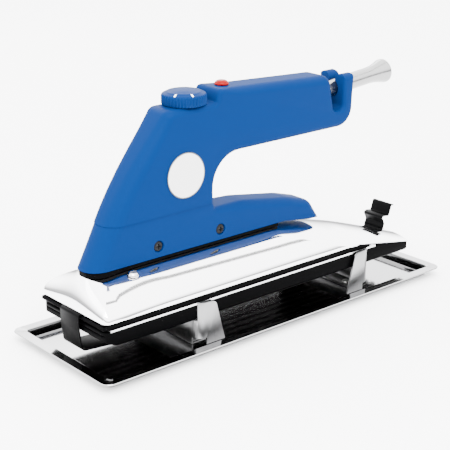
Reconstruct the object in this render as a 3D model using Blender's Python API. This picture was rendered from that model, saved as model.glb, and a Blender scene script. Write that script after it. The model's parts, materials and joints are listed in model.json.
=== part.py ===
"""Carpet seaming iron standing on its sheet-metal rest tray.

Frame: +X runs from the nose to the cord end, +Z is up, Y = 0 is the mirror plane.
The origin is the centre of the tray's underside.  Lengths are written in
millimetres and turned into metres by MM when a mesh is made.
"""

import math

import bmesh
import bpy
from mathutils import Matrix, Vector

MM = 0.001
GAP = 0.3

# Rest tray
TRAY_LENGTH = 330.0
TRAY_WIDTH = 118.0
TRAY_HEIGHT = 7.0
TRAY_SHEET = 1.0
TRAY_FLANGE = 7.7
TRAY_CORNER = 7.0

# Rest brackets: the web stands across the tray, the ears run along its sides
EAR_Y = 41.0
BRACKET_SHEET = 1.2
WEB_TOP = 19.9
FRONT_WEB_X = -74.5
REAR_WEB_X = 99.5
BRACKET_BEND = 7.0
EAR_TOP = 33.6
EAR_TOP_LENGTH = 16.5
EAR_FOOT_LENGTH = 25.0
EAR_CLEAR_Y = 38.6
RIVET_FROM_WEB = 9.0

# Heated base
NOSE_X = -150.0
TAIL_X = 145.5
TAIL_STEP_X = 110.0
SOLE_Y = 38.0
SOLE_BOTTOM = 20.2
SOLE_TOP = 31.8
GROOVE_PITCH = 7.5
GROOVE_DEPTH = 1.6
PLATE_Z = (32.2, 33.5)
SEAL_Z = (33.9, 36.6)

# Chrome cover
RIM_Z = 38.5
RIM_Y = 39.0
LIP_X = -150.5
TOP_FRONT_EDGE_X = -134.0
TOP_FRONT_MIDDLE_X = -141.0
COVER_SHEET = 0.9
CREASE_Y = 24.0
CREASE_FRONT_Y = 18.4
CREASE_Z = 57.0
RIDGE_Z = 61.5
RAMP_START_X = 20.0
KINK_X = 88.0
COVER_END_X = 146.0
COVER_END_RIM_Z = 27.8

# Handle
SKIRT_Y = 13.0
GRIP_Y = 13.8
HANDLE_WALL = 2.8
NOSE_ROUND = 12.0
HANDLE_BOTTOM = 63.4
SEAM_Z = 92.3
NOSE_FOOT_X = -142.6
NOSE_SLOPE = 0.6285
NOSE_BOW = 4.8
NOSE_TOP_SHIFT = 3.5
PLATFORM_Z = 164.5
GRIP_BOTTOM = 126.7
NECK_BACK_X = -35.8
FRONT_EDGE = [(102.0, 11.6), (113.0, 11.2), (126.0, 10.4), (139.0, 9.6), (152.0, 8.8)]

# Thermostat dial, pilot lamp and cord guard
DIAL_X = -52.0
DIAL_RADIUS = 16.0
DIAL_RIBS = 44
LAMP_X = -18.0
GUARD_START = (68.5, 152.5)
GUARD_ANGLE = math.radians(5.44)
GUARD_RADIUS = 6.4
GUARD_LENGTH = 83.0

# Fasteners
STUD_X = (-90.0, 10.0)
STUD_HOLE_RADIUS = 2.9
SIDE_SCREW_X = (-86.0, -30.0)
SIDE_SCREW_Z = 71.2
COVER_SCREW = (-112.5, 18.2)
COVER_SCREW_TILT = math.radians(15.6)
RIVET_Y = 24.0
BULB_Y = 8.0
LEAD_HOLE_X = 23.3

# Clip at the tail and strap at the nose
CLIP_X = 142.0
CLIP_Y = -5.0
CLIP_WIDTH = 20.0
STRAP_WIDTH = 22.0


def clear_scene():
    for old in list(bpy.data.objects):
        bpy.data.objects.remove(old, do_unlink=True)


def material(name, colour, roughness, metallic=0.0):
    made = bpy.data.materials.new(name)
    made.use_nodes = True
    shader = made.node_tree.nodes["Principled BSDF"]
    shader.inputs["Base Color"].default_value = (*colour, 1.0)
    shader.inputs["Roughness"].default_value = roughness
    shader.inputs["Metallic"].default_value = metallic
    return made


FINISHES = {
    "polished_steel": ((0.80, 0.80, 0.81), 0.12, 1.0),
    "satin_steel": ((0.62, 0.62, 0.63), 0.38, 1.0),
    "zinc_steel": ((0.66, 0.66, 0.64), 0.35, 1.0),
    "chrome": ((0.90, 0.90, 0.91), 0.05, 1.0),
    "nonstick_black": ((0.020, 0.020, 0.022), 0.45, 0.0),
    "black_steel": ((0.025, 0.025, 0.027), 0.40, 0.3),
    "black_phenolic": ((0.018, 0.018, 0.020), 0.55, 0.0),
    "ceramic_fibre": ((0.80, 0.77, 0.70), 0.90, 0.0),
    "blue_plastic": ((0.006, 0.138, 0.434), 0.42, 0.0),
    "dial_blue": ((0.007, 0.125, 0.400), 0.35, 0.0),
    "lamp_red": ((0.65, 0.03, 0.02), 0.15, 0.0),
    "glass": ((0.85, 0.60, 0.45), 0.05, 0.0),
    "guard_metal": ((0.72, 0.72, 0.71), 0.30, 1.0),
    "label_white": ((0.85, 0.85, 0.84), 0.40, 0.0),
    "copper": ((0.72, 0.38, 0.22), 0.30, 1.0),
    "brass": ((0.75, 0.58, 0.28), 0.30, 1.0),
    "wire_brown": ((0.18, 0.07, 0.03), 0.50, 0.0),
    "wire_blue": ((0.03, 0.12, 0.45), 0.50, 0.0),
    "wire_green": ((0.10, 0.40, 0.08), 0.50, 0.0),
}


def make_object(name, mesh_builder, finish, smooth_degrees=30.0):
    """Turn a bmesh in millimetres into a named object in metres."""
    bmesh.ops.recalc_face_normals(mesh_builder, faces=mesh_builder.faces[:])
    bmesh.ops.scale(mesh_builder, vec=(MM, MM, MM), verts=mesh_builder.verts[:])
    mesh = bpy.data.meshes.new(name)
    mesh_builder.to_mesh(mesh)
    mesh_builder.free()
    made = bpy.data.objects.new(name, mesh)
    bpy.context.collection.objects.link(made)
    mesh.shade_smooth()
    mesh.set_sharp_from_angle(angle=math.radians(smooth_degrees))
    if finish:
        if finish not in bpy.data.materials:
            material(finish, *FINISHES[finish])
        mesh.materials.append(bpy.data.materials[finish])
    return made


def set_origin(thing, point_mm):
    """Move an object's origin to a point without moving its shape."""
    target = Vector(point_mm) * MM
    thing.data.transform(Matrix.Translation(-target))
    thing.location = target


def loft(rings, closed_ends=True):
    """Join closed rings of equal length into one bmesh body."""
    built = bmesh.new()
    loops = [[built.verts.new(point) for point in ring] for ring in rings]
    count = len(loops[0])
    for first, second in zip(loops, loops[1:]):
        for index in range(count):
            after = (index + 1) % count
            built.faces.new((first[index], first[after], second[after], second[index]))
    if closed_ends:
        built.faces.new(loops[0])
        built.faces.new(loops[-1])
    return built


def prism(outline, low, high, axis="Y"):
    """Extrude a flat outline; the outline's plane is the one across the axis."""
    place = {
        "X": lambda a, b, c: (c, a, b),
        "Y": lambda a, b, c: (a, c, b),
        "Z": lambda a, b, c: (a, b, c),
    }[axis]
    return loft([[place(a, b, level) for a, b in outline] for level in (low, high)])


def box(low, high):
    outline = [(low[0], low[1]), (high[0], low[1]), (high[0], high[1]), (low[0], high[1])]
    return prism(outline, low[2], high[2], "Z")


def rounded_outline(corners, steps=4):
    """Corners are (a, b, radius); each radius becomes an arc of the given steps."""
    points = []
    for index, (a, b, radius) in enumerate(corners):
        here = Vector((a, b))
        if radius <= 0.0:
            points.append((a, b))
            continue
        before = Vector(corners[index - 1][:2]) - here
        after = Vector(corners[(index + 1) % len(corners)][:2]) - here
        before.normalize()
        after.normalize()
        half = before.angle(after) / 2.0
        centre = here + (before + after).normalized() * (radius / math.sin(half))
        start = here + before * (radius / math.tan(half)) - centre
        end = here + after * (radius / math.tan(half)) - centre
        turn = start.angle_signed(end)
        for step in range(steps + 1):
            part = start.copy()
            part.rotate(Matrix.Rotation(-turn * step / steps, 2))
            points.append((centre.x + part.x, centre.y + part.y))
    return points


def turned(profile, sides=24):
    """Revolve (radius, height) pairs about Z into a closed body."""
    rings = []
    for radius, height in profile:
        turns = [2.0 * math.pi * (side + 0.4) / sides for side in range(sides)]
        rings.append([(radius * math.cos(t), radius * math.sin(t), height) for t in turns])
    return loft(rings)


def turned_tube(profile, sides=24):
    """Revolve a closed (radius, height) outline about Z into a ring-shaped body."""
    built = loft(
        [
            [
                (
                    radius * math.cos(2.0 * math.pi * side / sides),
                    radius * math.sin(2.0 * math.pi * side / sides),
                    height,
                )
                for radius, height in profile
            ]
            for side in range(sides)
        ],
        closed_ends=False,
    )
    built.verts.ensure_lookup_table()
    count = len(profile)
    last = (sides - 1) * count
    for index in range(count):
        after = (index + 1) % count
        corners = (last + index, last + after, after, index)
        built.faces.new([built.verts[corner] for corner in corners])
    return built


def moved(built, location=(0.0, 0.0, 0.0), rotation=None):
    if rotation is not None:
        bmesh.ops.rotate(built, cent=(0, 0, 0), matrix=rotation, verts=built.verts[:])
    bmesh.ops.translate(built, vec=location, verts=built.verts[:])
    return built


TIP_TO_X = Matrix.Rotation(math.radians(90), 3, "Y")
TIP_TO_Y = Matrix.Rotation(math.radians(-90), 3, "X")


def rod(radius, low, high, centre=(0.0, 0.0), sides=20):
    return moved(turned([(radius, low), (radius, high)], sides), (*centre, 0.0))


def cutter(name, built):
    made = make_object("cut_" + name, built, None)
    made.hide_render = True
    made.display_type = "WIRE"
    return made


def combine(target, operation, *tools):
    for built in tools:
        label = "%s_%d" % (operation.lower(), len(target.modifiers))
        step = target.modifiers.new(label, "BOOLEAN")
        step.operation = operation
        step.solver = "EXACT"
        step.object = cutter("%s_%s" % (target.name, label), built)


def cut(target, *tools):
    combine(target, "DIFFERENCE", *tools)


def solve_pair(first, first_value, second, second_value):
    """The vector whose dot products with two directions are the given values."""
    cross = first.x * second.y - first.y * second.x
    if abs(cross) < 1e-3:
        return first * first_value
    return Vector(
        (
            (first_value * second.y - second_value * first.y) / cross,
            (second_value * first.x - first_value * second.x) / cross,
        )
    )


def inset_outline(corners, steps):
    """Points of a clockwise outline, each with its inset vector and edge radius.

    A corner is (x, z, arc radius, edge radius before it, edge radius after it).
    """
    points = []
    for index, (x, z, arc, before, after) in enumerate(corners):
        here = Vector((x, z))
        came = (here - Vector(corners[index - 1][:2])).normalized()
        goes = (Vector(corners[(index + 1) % len(corners)][:2]) - here).normalized()
        inward_before = Vector((came.y, -came.x))
        inward_after = Vector((goes.y, -goes.x))
        if arc <= 0.0:
            inset = solve_pair(inward_before, before, inward_after, after)
            points.append((here, inset, max(before, after)))
            continue
        turn = came.angle_signed(goes)
        convex = 1.0 if turn > 0.0 else -1.0
        start = here - came * (arc * math.tan(abs(turn) / 2.0))
        centre = start + inward_before * (convex * arc)
        for step in range(steps + 1):
            share = step / steps
            inward = inward_before.copy()
            inward.rotate(Matrix.Rotation(-turn * share, 2))
            radius = before + (after - before) * share
            points.append((centre - inward * (convex * arc), inward * radius, radius))
    return points


def rounded_slab(corners, half_width, steps=4, levels=4):
    """A slab across Y whose side edges are rounded by the corners' edge radii."""
    points = inset_outline(corners, steps)
    angles = [math.pi / 2.0 * level / levels for level in range(levels + 1)]
    rings = []
    for side in (-1.0, 1.0):
        half = []
        for angle in angles:
            ring = []
            for place, inset, radius in points:
                moved_in = place + inset * (1.0 - math.cos(angle))
                y = half_width - radius * (1.0 - math.sin(angle))
                ring.append((moved_in.x, side * y, moved_in.y))
            half.append(ring)
        rings += half if side > 0.0 else half[::-1]
    return loft(rings)


def wire(name, route, radius, finish, sides_resolution=2):
    """A round wire along a smooth curve through the route's points."""
    dense = smooth_route(route, 4.0 * radius)
    curve = bpy.data.curves.new(name, "CURVE")
    curve.dimensions = "3D"
    curve.bevel_depth = radius * MM
    curve.bevel_resolution = sides_resolution
    curve.use_fill_caps = True
    spline = curve.splines.new("POLY")
    spline.points.add(len(dense) - 1)
    for point, place in zip(spline.points, dense):
        point.co = (*(place * MM), 1.0)
    if finish not in bpy.data.materials:
        material(finish, *FINISHES[finish])
    curve.materials.append(bpy.data.materials[finish])
    made = bpy.data.objects.new(name, curve)
    bpy.context.collection.objects.link(made)
    return made


def smooth_route(route, spacing):
    """Catmull-Rom points through a route, about one every spacing."""
    places = [Vector(point) for point in route]
    places = [2 * places[0] - places[1]] + places + [2 * places[-1] - places[-2]]
    dense = []
    for before, start, end, after in zip(places, places[1:], places[2:], places[3:]):
        steps = max(2, round((end - start).length / max(spacing, 4.0)))
        for step in range(steps):
            t = step / steps
            dense.append(
                0.5
                * (
                    2 * start
                    + (end - before) * t
                    + (2 * before - 5 * start + 4 * end - after) * t**2
                    + (3 * start - before - 3 * end + after) * t**3
                )
            )
    dense.append(places[-2])
    return dense


def rounded_rectangle(inset, level, steps=3):
    half_x = TRAY_LENGTH / 2.0 - inset
    half_y = TRAY_WIDTH / 2.0 - inset
    radius = max(TRAY_CORNER - inset, 3.0)
    corners = [
        (-half_x, -half_y, radius),
        (half_x, -half_y, radius),
        (half_x, half_y, radius),
        (-half_x, half_y, radius),
    ]
    return [(x, y, level) for x, y in rounded_outline(corners, steps)]


def make_tray():
    wall_foot = TRAY_FLANGE + 1.4
    outward = 0.8 * TRAY_SHEET
    rings = [
        rounded_rectangle(wall_foot - outward, 0.0),
        rounded_rectangle(TRAY_FLANGE - outward, TRAY_HEIGHT - TRAY_SHEET),
        rounded_rectangle(0.0, TRAY_HEIGHT - TRAY_SHEET),
        rounded_rectangle(0.0, TRAY_HEIGHT),
        rounded_rectangle(TRAY_FLANGE, TRAY_HEIGHT),
        rounded_rectangle(wall_foot, TRAY_SHEET),
    ]
    tray = make_object("rest_tray", loft(rings), "polished_steel")
    for x in (FRONT_WEB_X + RIVET_FROM_WEB, REAR_WEB_X - RIVET_FROM_WEB):
        for y in (-RIVET_Y, RIVET_Y):
            cut(tray, rod(2.0, -1.0, 3.0, (x, y), 12))


def bracket_plan(web_x, inward):
    """Plan of the bent sheet: an ear, a bend, the web, a bend and an ear."""
    end_x = web_x + inward * (EAR_FOOT_LENGTH + 1.0)
    inner_x = web_x + inward * BRACKET_SHEET
    inner_y = EAR_Y - BRACKET_SHEET
    inner_bend = BRACKET_BEND - BRACKET_SHEET
    return rounded_outline(
        [
            (end_x, -EAR_Y, 0.0),
            (web_x, -EAR_Y, BRACKET_BEND),
            (web_x, EAR_Y, BRACKET_BEND),
            (end_x, EAR_Y, 0.0),
            (end_x, inner_y, 0.0),
            (inner_x, inner_y, inner_bend),
            (inner_x, -inner_y, inner_bend),
            (end_x, -inner_y, 0.0),
        ],
        5,
    )


def sorted_box(first, second):
    lows = [min(a, b) for a, b in zip(first, second)]
    highs = [max(a, b) for a, b in zip(first, second)]
    return box(lows, highs)


def make_bracket(name, web_x, inward):
    """inward is +1 when the ears run towards +X, -1 when they run towards -X."""
    foot = TRAY_SHEET + GAP
    sheet = prism(bracket_plan(web_x, inward), foot, EAR_TOP + 2.0, "Z")
    bracket = make_object(name, sheet, "satin_steel")
    ear = [
        (web_x - inward, foot - 1.0, 0.0),
        (web_x - inward, EAR_TOP, 0.0),
        (web_x + inward * EAR_TOP_LENGTH, EAR_TOP - 1.4, 4.0),
        (web_x + inward * EAR_FOOT_LENGTH, foot - 1.0, 0.0),
    ]
    combine(bracket, "INTERSECT", prism(rounded_outline(ear), -EAR_Y - 2.0, EAR_Y + 2.0))
    cut(
        bracket,
        sorted_box(
            (web_x - inward * 2.0, -EAR_CLEAR_Y, WEB_TOP),
            (web_x + inward * 12.0, EAR_CLEAR_Y, EAR_TOP + 4.0),
        ),
    )
    flange_y = EAR_Y - BRACKET_BEND - 3.0
    flange = sorted_box(
        (web_x + inward * 0.5, -flange_y, foot),
        (web_x + inward * 15.0, flange_y, foot + BRACKET_SHEET),
    )
    combine(bracket, "UNION", flange)
    for side in (-1, 1):
        notch = sorted_box(
            (web_x - inward * 2.0, side * (EAR_Y - BRACKET_BEND), foot - 1.0),
            (web_x + inward * (BRACKET_BEND + 1.0), side * (EAR_Y + 2.0), foot + 5.0),
        )
        x = web_x + inward * RIVET_FROM_WEB
        hole = rod(2.0, foot - 1.0, foot + 3.0, (x, side * RIVET_Y), 12)
        cut(bracket, notch, hole)
        rivet = turned(
            [
                (1.7, GAP),
                (1.7, foot + BRACKET_SHEET + GAP),
                (3.2, foot + BRACKET_SHEET + GAP),
                (2.6, foot + BRACKET_SHEET + 1.3),
                (1.0, foot + BRACKET_SHEET + 1.7),
            ],
            14,
        )
        place = "near" if side < 0 else "far"
        rivet = moved(rivet, (x, side * RIVET_Y, 0.0))
        make_object("%s_rivet_%s" % (name, place), rivet, "zinc_steel")


def make_chamfer(side):
    """Wedge that trims one long bottom edge of the sole plate."""
    corner = [
        (side * (SOLE_Y - 1.7), SOLE_BOTTOM - 1.0),
        (side * (SOLE_Y + 1.5), SOLE_BOTTOM - 1.0),
        (side * (SOLE_Y + 1.5), SOLE_BOTTOM + 2.6),
        (side * SOLE_Y, SOLE_BOTTOM + 1.7),
        (side * (SOLE_Y - 1.7), SOLE_BOTTOM),
    ]
    return prism(corner, NOSE_X - 5.0, TAIL_X + 5.0, "X")


def make_sole():
    front = [
        (NOSE_X + 12.0, SOLE_BOTTOM),
        (NOSE_X + 0.3, 25.4),
        (NOSE_X, 26.0),
        (NOSE_X, 28.6),
        (NOSE_X + 1.6, 29.2),
        (NOSE_X, 29.9),
        (NOSE_X, 31.4),
        (NOSE_X + 0.6, SOLE_TOP),
    ]
    tail = [
        (TAIL_STEP_X, SOLE_TOP),
        (TAIL_STEP_X, rim_z_at(TAIL_STEP_X) - 0.6),
        (TAIL_X, rim_z_at(TAIL_X) - 0.6),
        (TAIL_X, SOLE_BOTTOM),
    ]
    outline = front + tail
    sole = make_object("sole_plate", prism(outline, -SOLE_Y, SOLE_Y), "nonstick_black")
    trims = []
    for side in (-1, 1):
        corner = [
            (NOSE_X - 2.0, side * (SOLE_Y + 2.0)),
            (NOSE_X + 5.0, side * (SOLE_Y + 2.0)),
            (NOSE_X + 5.0, side * SOLE_Y),
            (NOSE_X + 1.5, side * (SOLE_Y - 1.5)),
            (NOSE_X, side * (SOLE_Y - 5.0)),
            (NOSE_X - 2.0, side * (SOLE_Y - 5.0)),
        ]
        trims.append(prism(corner, SOLE_BOTTOM - 3.0, SOLE_TOP + 3.0, "Z"))
    for number in range(-4, 5):
        y = number * GROOVE_PITCH
        groove = [
            (y - 1.6, SOLE_BOTTOM - 1.0),
            (y + 1.6, SOLE_BOTTOM - 1.0),
            (y + 1.0, SOLE_BOTTOM + GROOVE_DEPTH),
            (y - 1.0, SOLE_BOTTOM + GROOVE_DEPTH),
        ]
        trims.append(prism(groove, NOSE_X - 5.0, TAIL_X + 5.0, "X"))
    trims += [make_chamfer(-1), make_chamfer(1)]
    trims.append(box((-136.0, -31.0, 25.5), (84.0, 31.0, SOLE_TOP + 5.0)))
    cut(sole, *trims)


def pierced_plate(name, low, high, levels, finish, holes):
    plate = make_object(name, box((low[0], low[1], levels[0]), (high[0], high[1], levels[1])), finish)
    cut(plate, *[rod(r, levels[0] - 2.0, levels[1] + 2.0, (x, y), 12) for x, y, r in holes])
    return plate


STUD_HOLES = [(x, 0.0, STUD_HOLE_RADIUS) for x in STUD_X]
TERMINAL_HOLES = [(72.0, side * 18.0, 3.2) for side in (-1, 1)]
CAPILLARY_HOLE = [(-60.0, 0.0, 2.4)]
LEAD_HOLE = [(LEAD_HOLE_X, 0.0, 2.8)]
THROUGH_HOLES = STUD_HOLES + TERMINAL_HOLES + CAPILLARY_HOLE


def make_base_stack():
    pierced_plate(
        "mounting_plate", (-146.0, -38.4), (108.0, 38.4), PLATE_Z, "polished_steel", THROUGH_HOLES
    )
    bead = [
        (NOSE_X + 3.0, SEAL_Z[0]),
        (NOSE_X - 0.6, SEAL_Z[0]),
        (NOSE_X - 1.4, (SEAL_Z[0] + SEAL_Z[1]) / 2.0),
        (NOSE_X - 0.6, SEAL_Z[1]),
        (NOSE_X + 3.0, SEAL_Z[1]),
        (93.0, SEAL_Z[1]),
        (104.0, SEAL_Z[1] - 2.0),
        (104.0, SEAL_Z[0]),
    ]
    seal = make_object("cover_seal", prism(bead, -37.0, 37.0), "black_phenolic")
    cut(
        seal,
        *[rod(r, SEAL_Z[0] - 2.0, SEAL_Z[1] + 2.0, (x, y), 12) for x, y, r in THROUGH_HOLES],
    )
    pierced_plate(
        "insulation_pad",
        (-132.0, -29.0),
        (66.0, 29.0),
        (39.0, 44.0),
        "ceramic_fibre",
        STUD_HOLES + CAPILLARY_HOLE,
    )


def make_heater():
    route = [
        (72.0, -18.0, 46.0),
        (72.0, -18.0, 40.0),
        (72.0, -18.0, 33.0),
        (70.6, -18.0, 29.6),
        (66.0, -18.0, 28.5),
        (40.0, -18.0, 28.5),
        (-40.0, -18.0, 28.5),
        (-100.0, -18.0, 28.5),
        (-114.0, -16.0, 28.5),
        (-124.0, -9.0, 28.5),
        (-127.0, 0.0, 28.5),
        (-124.0, 9.0, 28.5),
        (-114.0, 16.0, 28.5),
        (-100.0, 18.0, 28.5),
        (-40.0, 18.0, 28.5),
        (40.0, 18.0, 28.5),
        (66.0, 18.0, 28.5),
        (70.6, 18.0, 29.6),
        (72.0, 18.0, 33.0),
        (72.0, 18.0, 40.0),
        (72.0, 18.0, 46.0),
    ]
    wire("heating_element", route, 2.4, "satin_steel")


def rise(share):
    """How a cover side climbs from its rim: steep at the rim, then leaning in."""
    return share**0.55


def rim_z_at(x):
    if x <= KINK_X:
        return RIM_Z
    return RIM_Z + (COVER_END_RIM_Z - RIM_Z) * (x - KINK_X) / (COVER_END_X - KINK_X)


def ridge_z_at(x):
    """Height of the cover on its centre line behind the nose."""
    if x < RAMP_START_X:
        return RIDGE_Z
    return RIDGE_Z - 0.0435 * (x - RAMP_START_X) ** 1.35


def crease_at(x):
    """Where the crowned top meets the side slope: half width and height."""
    crown = (RIDGE_Z - CREASE_Z) / CREASE_Y**2
    share = 1.0
    low, high = 0.0, 1.0
    for _ in range(40):
        share = (low + high) / 2.0
        y = RIM_Y - (RIM_Y - CREASE_Y) * share
        side_z = RIM_Z + (CREASE_Z - RIM_Z) * rise(share)
        if side_z < ridge_z_at(x) - crown * y * y:
            low = share
        else:
            high = share
    y = RIM_Y - (RIM_Y - CREASE_Y) * share
    return y, RIM_Z + (CREASE_Z - RIM_Z) * rise(share)


def cover_stations():
    """Each station: middle x, crease x, rim half width, crease y, crease z, ridge z, rim z."""
    stations = []
    for share in (0.0, 0.04, 0.12, 0.3, 0.55, 0.8, 1.0):
        middle = LIP_X + (TOP_FRONT_MIDDLE_X - LIP_X) * share
        crease_x = LIP_X + (TOP_FRONT_EDGE_X - LIP_X) * share
        turn = min(1.0, (crease_x - LIP_X) / 5.0)
        rim_y = RIM_Y - 5.0 * (1.0 - math.sqrt(1.0 - (1.0 - turn) ** 2))
        crease_y = rim_y - (rim_y - CREASE_FRONT_Y) * share
        crease_z = RIM_Z + (CREASE_Z - RIM_Z) * rise(share)
        ridge_z = RIM_Z + (CREASE_Z + 1.8 - RIM_Z) * rise(share)
        stations.append((middle, crease_x, rim_y, crease_y, crease_z, ridge_z, RIM_Z))
    for share in (0.35, 0.7, 1.0):
        middle = TOP_FRONT_MIDDLE_X + (-90.0 - TOP_FRONT_MIDDLE_X) * share
        crease_x = TOP_FRONT_EDGE_X + (-90.0 - TOP_FRONT_EDGE_X) * share
        ease = 1.0 - (1.0 - share) ** 2
        crease_y = CREASE_FRONT_Y + (CREASE_Y - CREASE_FRONT_Y) * ease
        ridge_z = CREASE_Z + 1.8 + (RIDGE_Z - CREASE_Z - 1.8) * ease
        stations.append((middle, crease_x, RIM_Y, crease_y, CREASE_Z, ridge_z, RIM_Z))
    for x in (-40.0, RAMP_START_X, 35.0, 50.0, 65.0, 76.0, KINK_X - 2.0):
        y, z = crease_at(x)
        stations.append((x, x, RIM_Y, y, z, ridge_z_at(x), RIM_Z))
    for x in (KINK_X + 8.0, 110.0, 128.0, 138.0, COVER_END_X):
        rim_z = rim_z_at(x)
        stations.append((x, x, RIM_Y, RIM_Y - 0.6, rim_z + 0.7, ridge_z_at(x), rim_z))
    return stations


def cover_section(station):
    middle, crease_x, rim_y, crease_y, crease_z, ridge_z, rim_z = station
    flatness = 2.0 if crease_x < KINK_X else 2.0 + 1.5 * (crease_x - KINK_X) / (COVER_END_X - KINK_X)
    points = []
    for share in (0.0, 0.05, 0.15, 0.35, 0.65):
        y = rim_y - (rim_y - crease_y) * share
        points.append((crease_x, y, rim_z + (crease_z - rim_z) * rise(share)))
    for share in (1.0, 0.85, 0.65, 0.42, 0.2):
        x = middle + (crease_x - middle) * share**2
        z = ridge_z + (crease_z - ridge_z) * share**flatness
        points.append((x, crease_y * share, z))
    half = points + [(middle, 0.0, ridge_z)]
    return half + [(x, -y, z) for x, y, z in reversed(points)]


def make_cover():
    built = bmesh.new()
    rows = [
        [built.verts.new(point) for point in cover_section(station)]
        for station in cover_stations()
    ]
    for first, second in zip(rows, rows[1:]):
        for index in range(len(first) - 1):
            built.faces.new((first[index], second[index], second[index + 1], first[index + 1]))
    built.faces.new(rows[-1])
    bmesh.ops.recalc_face_normals(built, faces=built.faces[:])
    if sum(face.normal.z for face in built.faces) < 0.0:
        bmesh.ops.reverse_faces(built, faces=built.faces[:])
    bmesh.ops.scale(built, vec=(MM, MM, MM), verts=built.verts[:])
    mesh = bpy.data.meshes.new("cover")
    built.to_mesh(mesh)
    built.free()
    cover = bpy.data.objects.new("cover", mesh)
    bpy.context.collection.objects.link(cover)
    mesh.shade_smooth()
    mesh.set_sharp_from_angle(angle=math.radians(28))
    material("chrome", *FINISHES["chrome"])
    mesh.materials.append(bpy.data.materials["chrome"])
    shell = cover.modifiers.new("sheet", "SOLIDIFY")
    shell.thickness = COVER_SHEET * MM
    shell.offset = -1.0
    holes = [
        rod(radius, 40.0, 66.0, (x, y), 12)
        for x, y, radius in STUD_HOLES + CAPILLARY_HOLE + LEAD_HOLE
    ]
    for side in (-1, 1):
        holes.append(at_cover_screw(turned([(2.1, -6.0), (2.1, 6.0)], 12), side))
    slot = box(
        (CLIP_X - 1.3, CLIP_Y - CLIP_WIDTH / 2.0 - 1.5, 30.5),
        (CLIP_X + 1.3, CLIP_Y + CLIP_WIDTH / 2.0 + 1.5, 40.0),
    )
    cut(cover, *holes, slot)


def crown_z(x, y):
    """Height of the cover's crowned top, used to fit the gasket to it."""
    crown = (RIDGE_Z - CREASE_Z) / CREASE_Y**2
    if x < -90.0:
        share = min(1.0, (x + 141.0) / 51.0)
        ease = 1.0 - (1.0 - max(share, 0.0)) ** 2
        ridge = CREASE_Z + 1.8 + (RIDGE_Z - CREASE_Z - 1.8) * ease
        return ridge - crown * y * y
    return ridge_z_at(x) - crown * y * y


def make_gasket():
    """A flat-topped strip whose underside follows the crowned cover."""
    half = SKIRT_Y - 0.8
    rings = []
    levels = [-141.0, -139.5, -137.0, -133.5, -128.0, -112.0, -90.0, -40.0, 20.0, 27.5]
    for x in levels:
        reach = min(1.0, (x - NOSE_FOOT_X - 0.9) / (NOSE_ROUND + 2.0))
        width = half * math.sqrt(1.0 - (1.0 - reach) ** 2)
        ring = []
        for share in (-1.0, -0.5, 0.0, 0.5, 1.0):
            y = width * share
            ring.append((x, y, min(crown_z(x, y) + 0.5, HANDLE_BOTTOM - 1.0)))
        ring += [(x, width, HANDLE_BOTTOM - GAP), (x, -width, HANDLE_BOTTOM - GAP)]
        rings.append(ring)
    gasket = make_object("handle_gasket", loft(rings), "black_phenolic")
    cut(
        gasket,
        *[rod(r, 50.0, 70.0, (x, y), 12) for x, y, r in STUD_HOLES + CAPILLARY_HOLE + LEAD_HOLE],
    )


def slanted_x(z):
    """The handle's leaning front edge, bowed forwards a little below its middle."""
    share = min(1.0, max(0.0, (z - 62.8) / (PLATFORM_Z - 62.8)))
    bow = NOSE_BOW * math.sin(math.pi * share) ** 1.5
    return NOSE_FOOT_X + NOSE_SLOPE * (z - 62.8) + NOSE_TOP_SHIFT * share**2 - bow


def guard_point(distance):
    """A point on the cord guard's centre line, as (x, z)."""
    return (
        GUARD_START[0] + distance * math.cos(GUARD_ANGLE),
        GUARD_START[1] + distance * math.sin(GUARD_ANGLE),
    )


def along_guard(built, distance=0.0):
    x, z = guard_point(distance)
    turn = Matrix.Rotation(math.radians(90) - GUARD_ANGLE, 3, "Y")
    return moved(built, (x, 0.0, z), turn)


def lobe_cutter():
    """Everything above the rear wall's two round lobes, and the slot between them."""
    lobe_y, lobe_z, lobe_radius, slot_y = 8.4, 161.3, 5.4, 3.0
    arc = []
    for step in range(9):
        angle = math.pi * step / 8
        arc.append((lobe_y + lobe_radius * math.cos(angle), lobe_z + lobe_radius * math.sin(angle)))
    half = [(16.0, 175.0), (16.0, lobe_z)] + arc + [(slot_y, 155.0)]
    outline = half + [(-y, z) for y, z in reversed(half)]
    return prism(outline, 88.0, 106.0, "X")


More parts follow.
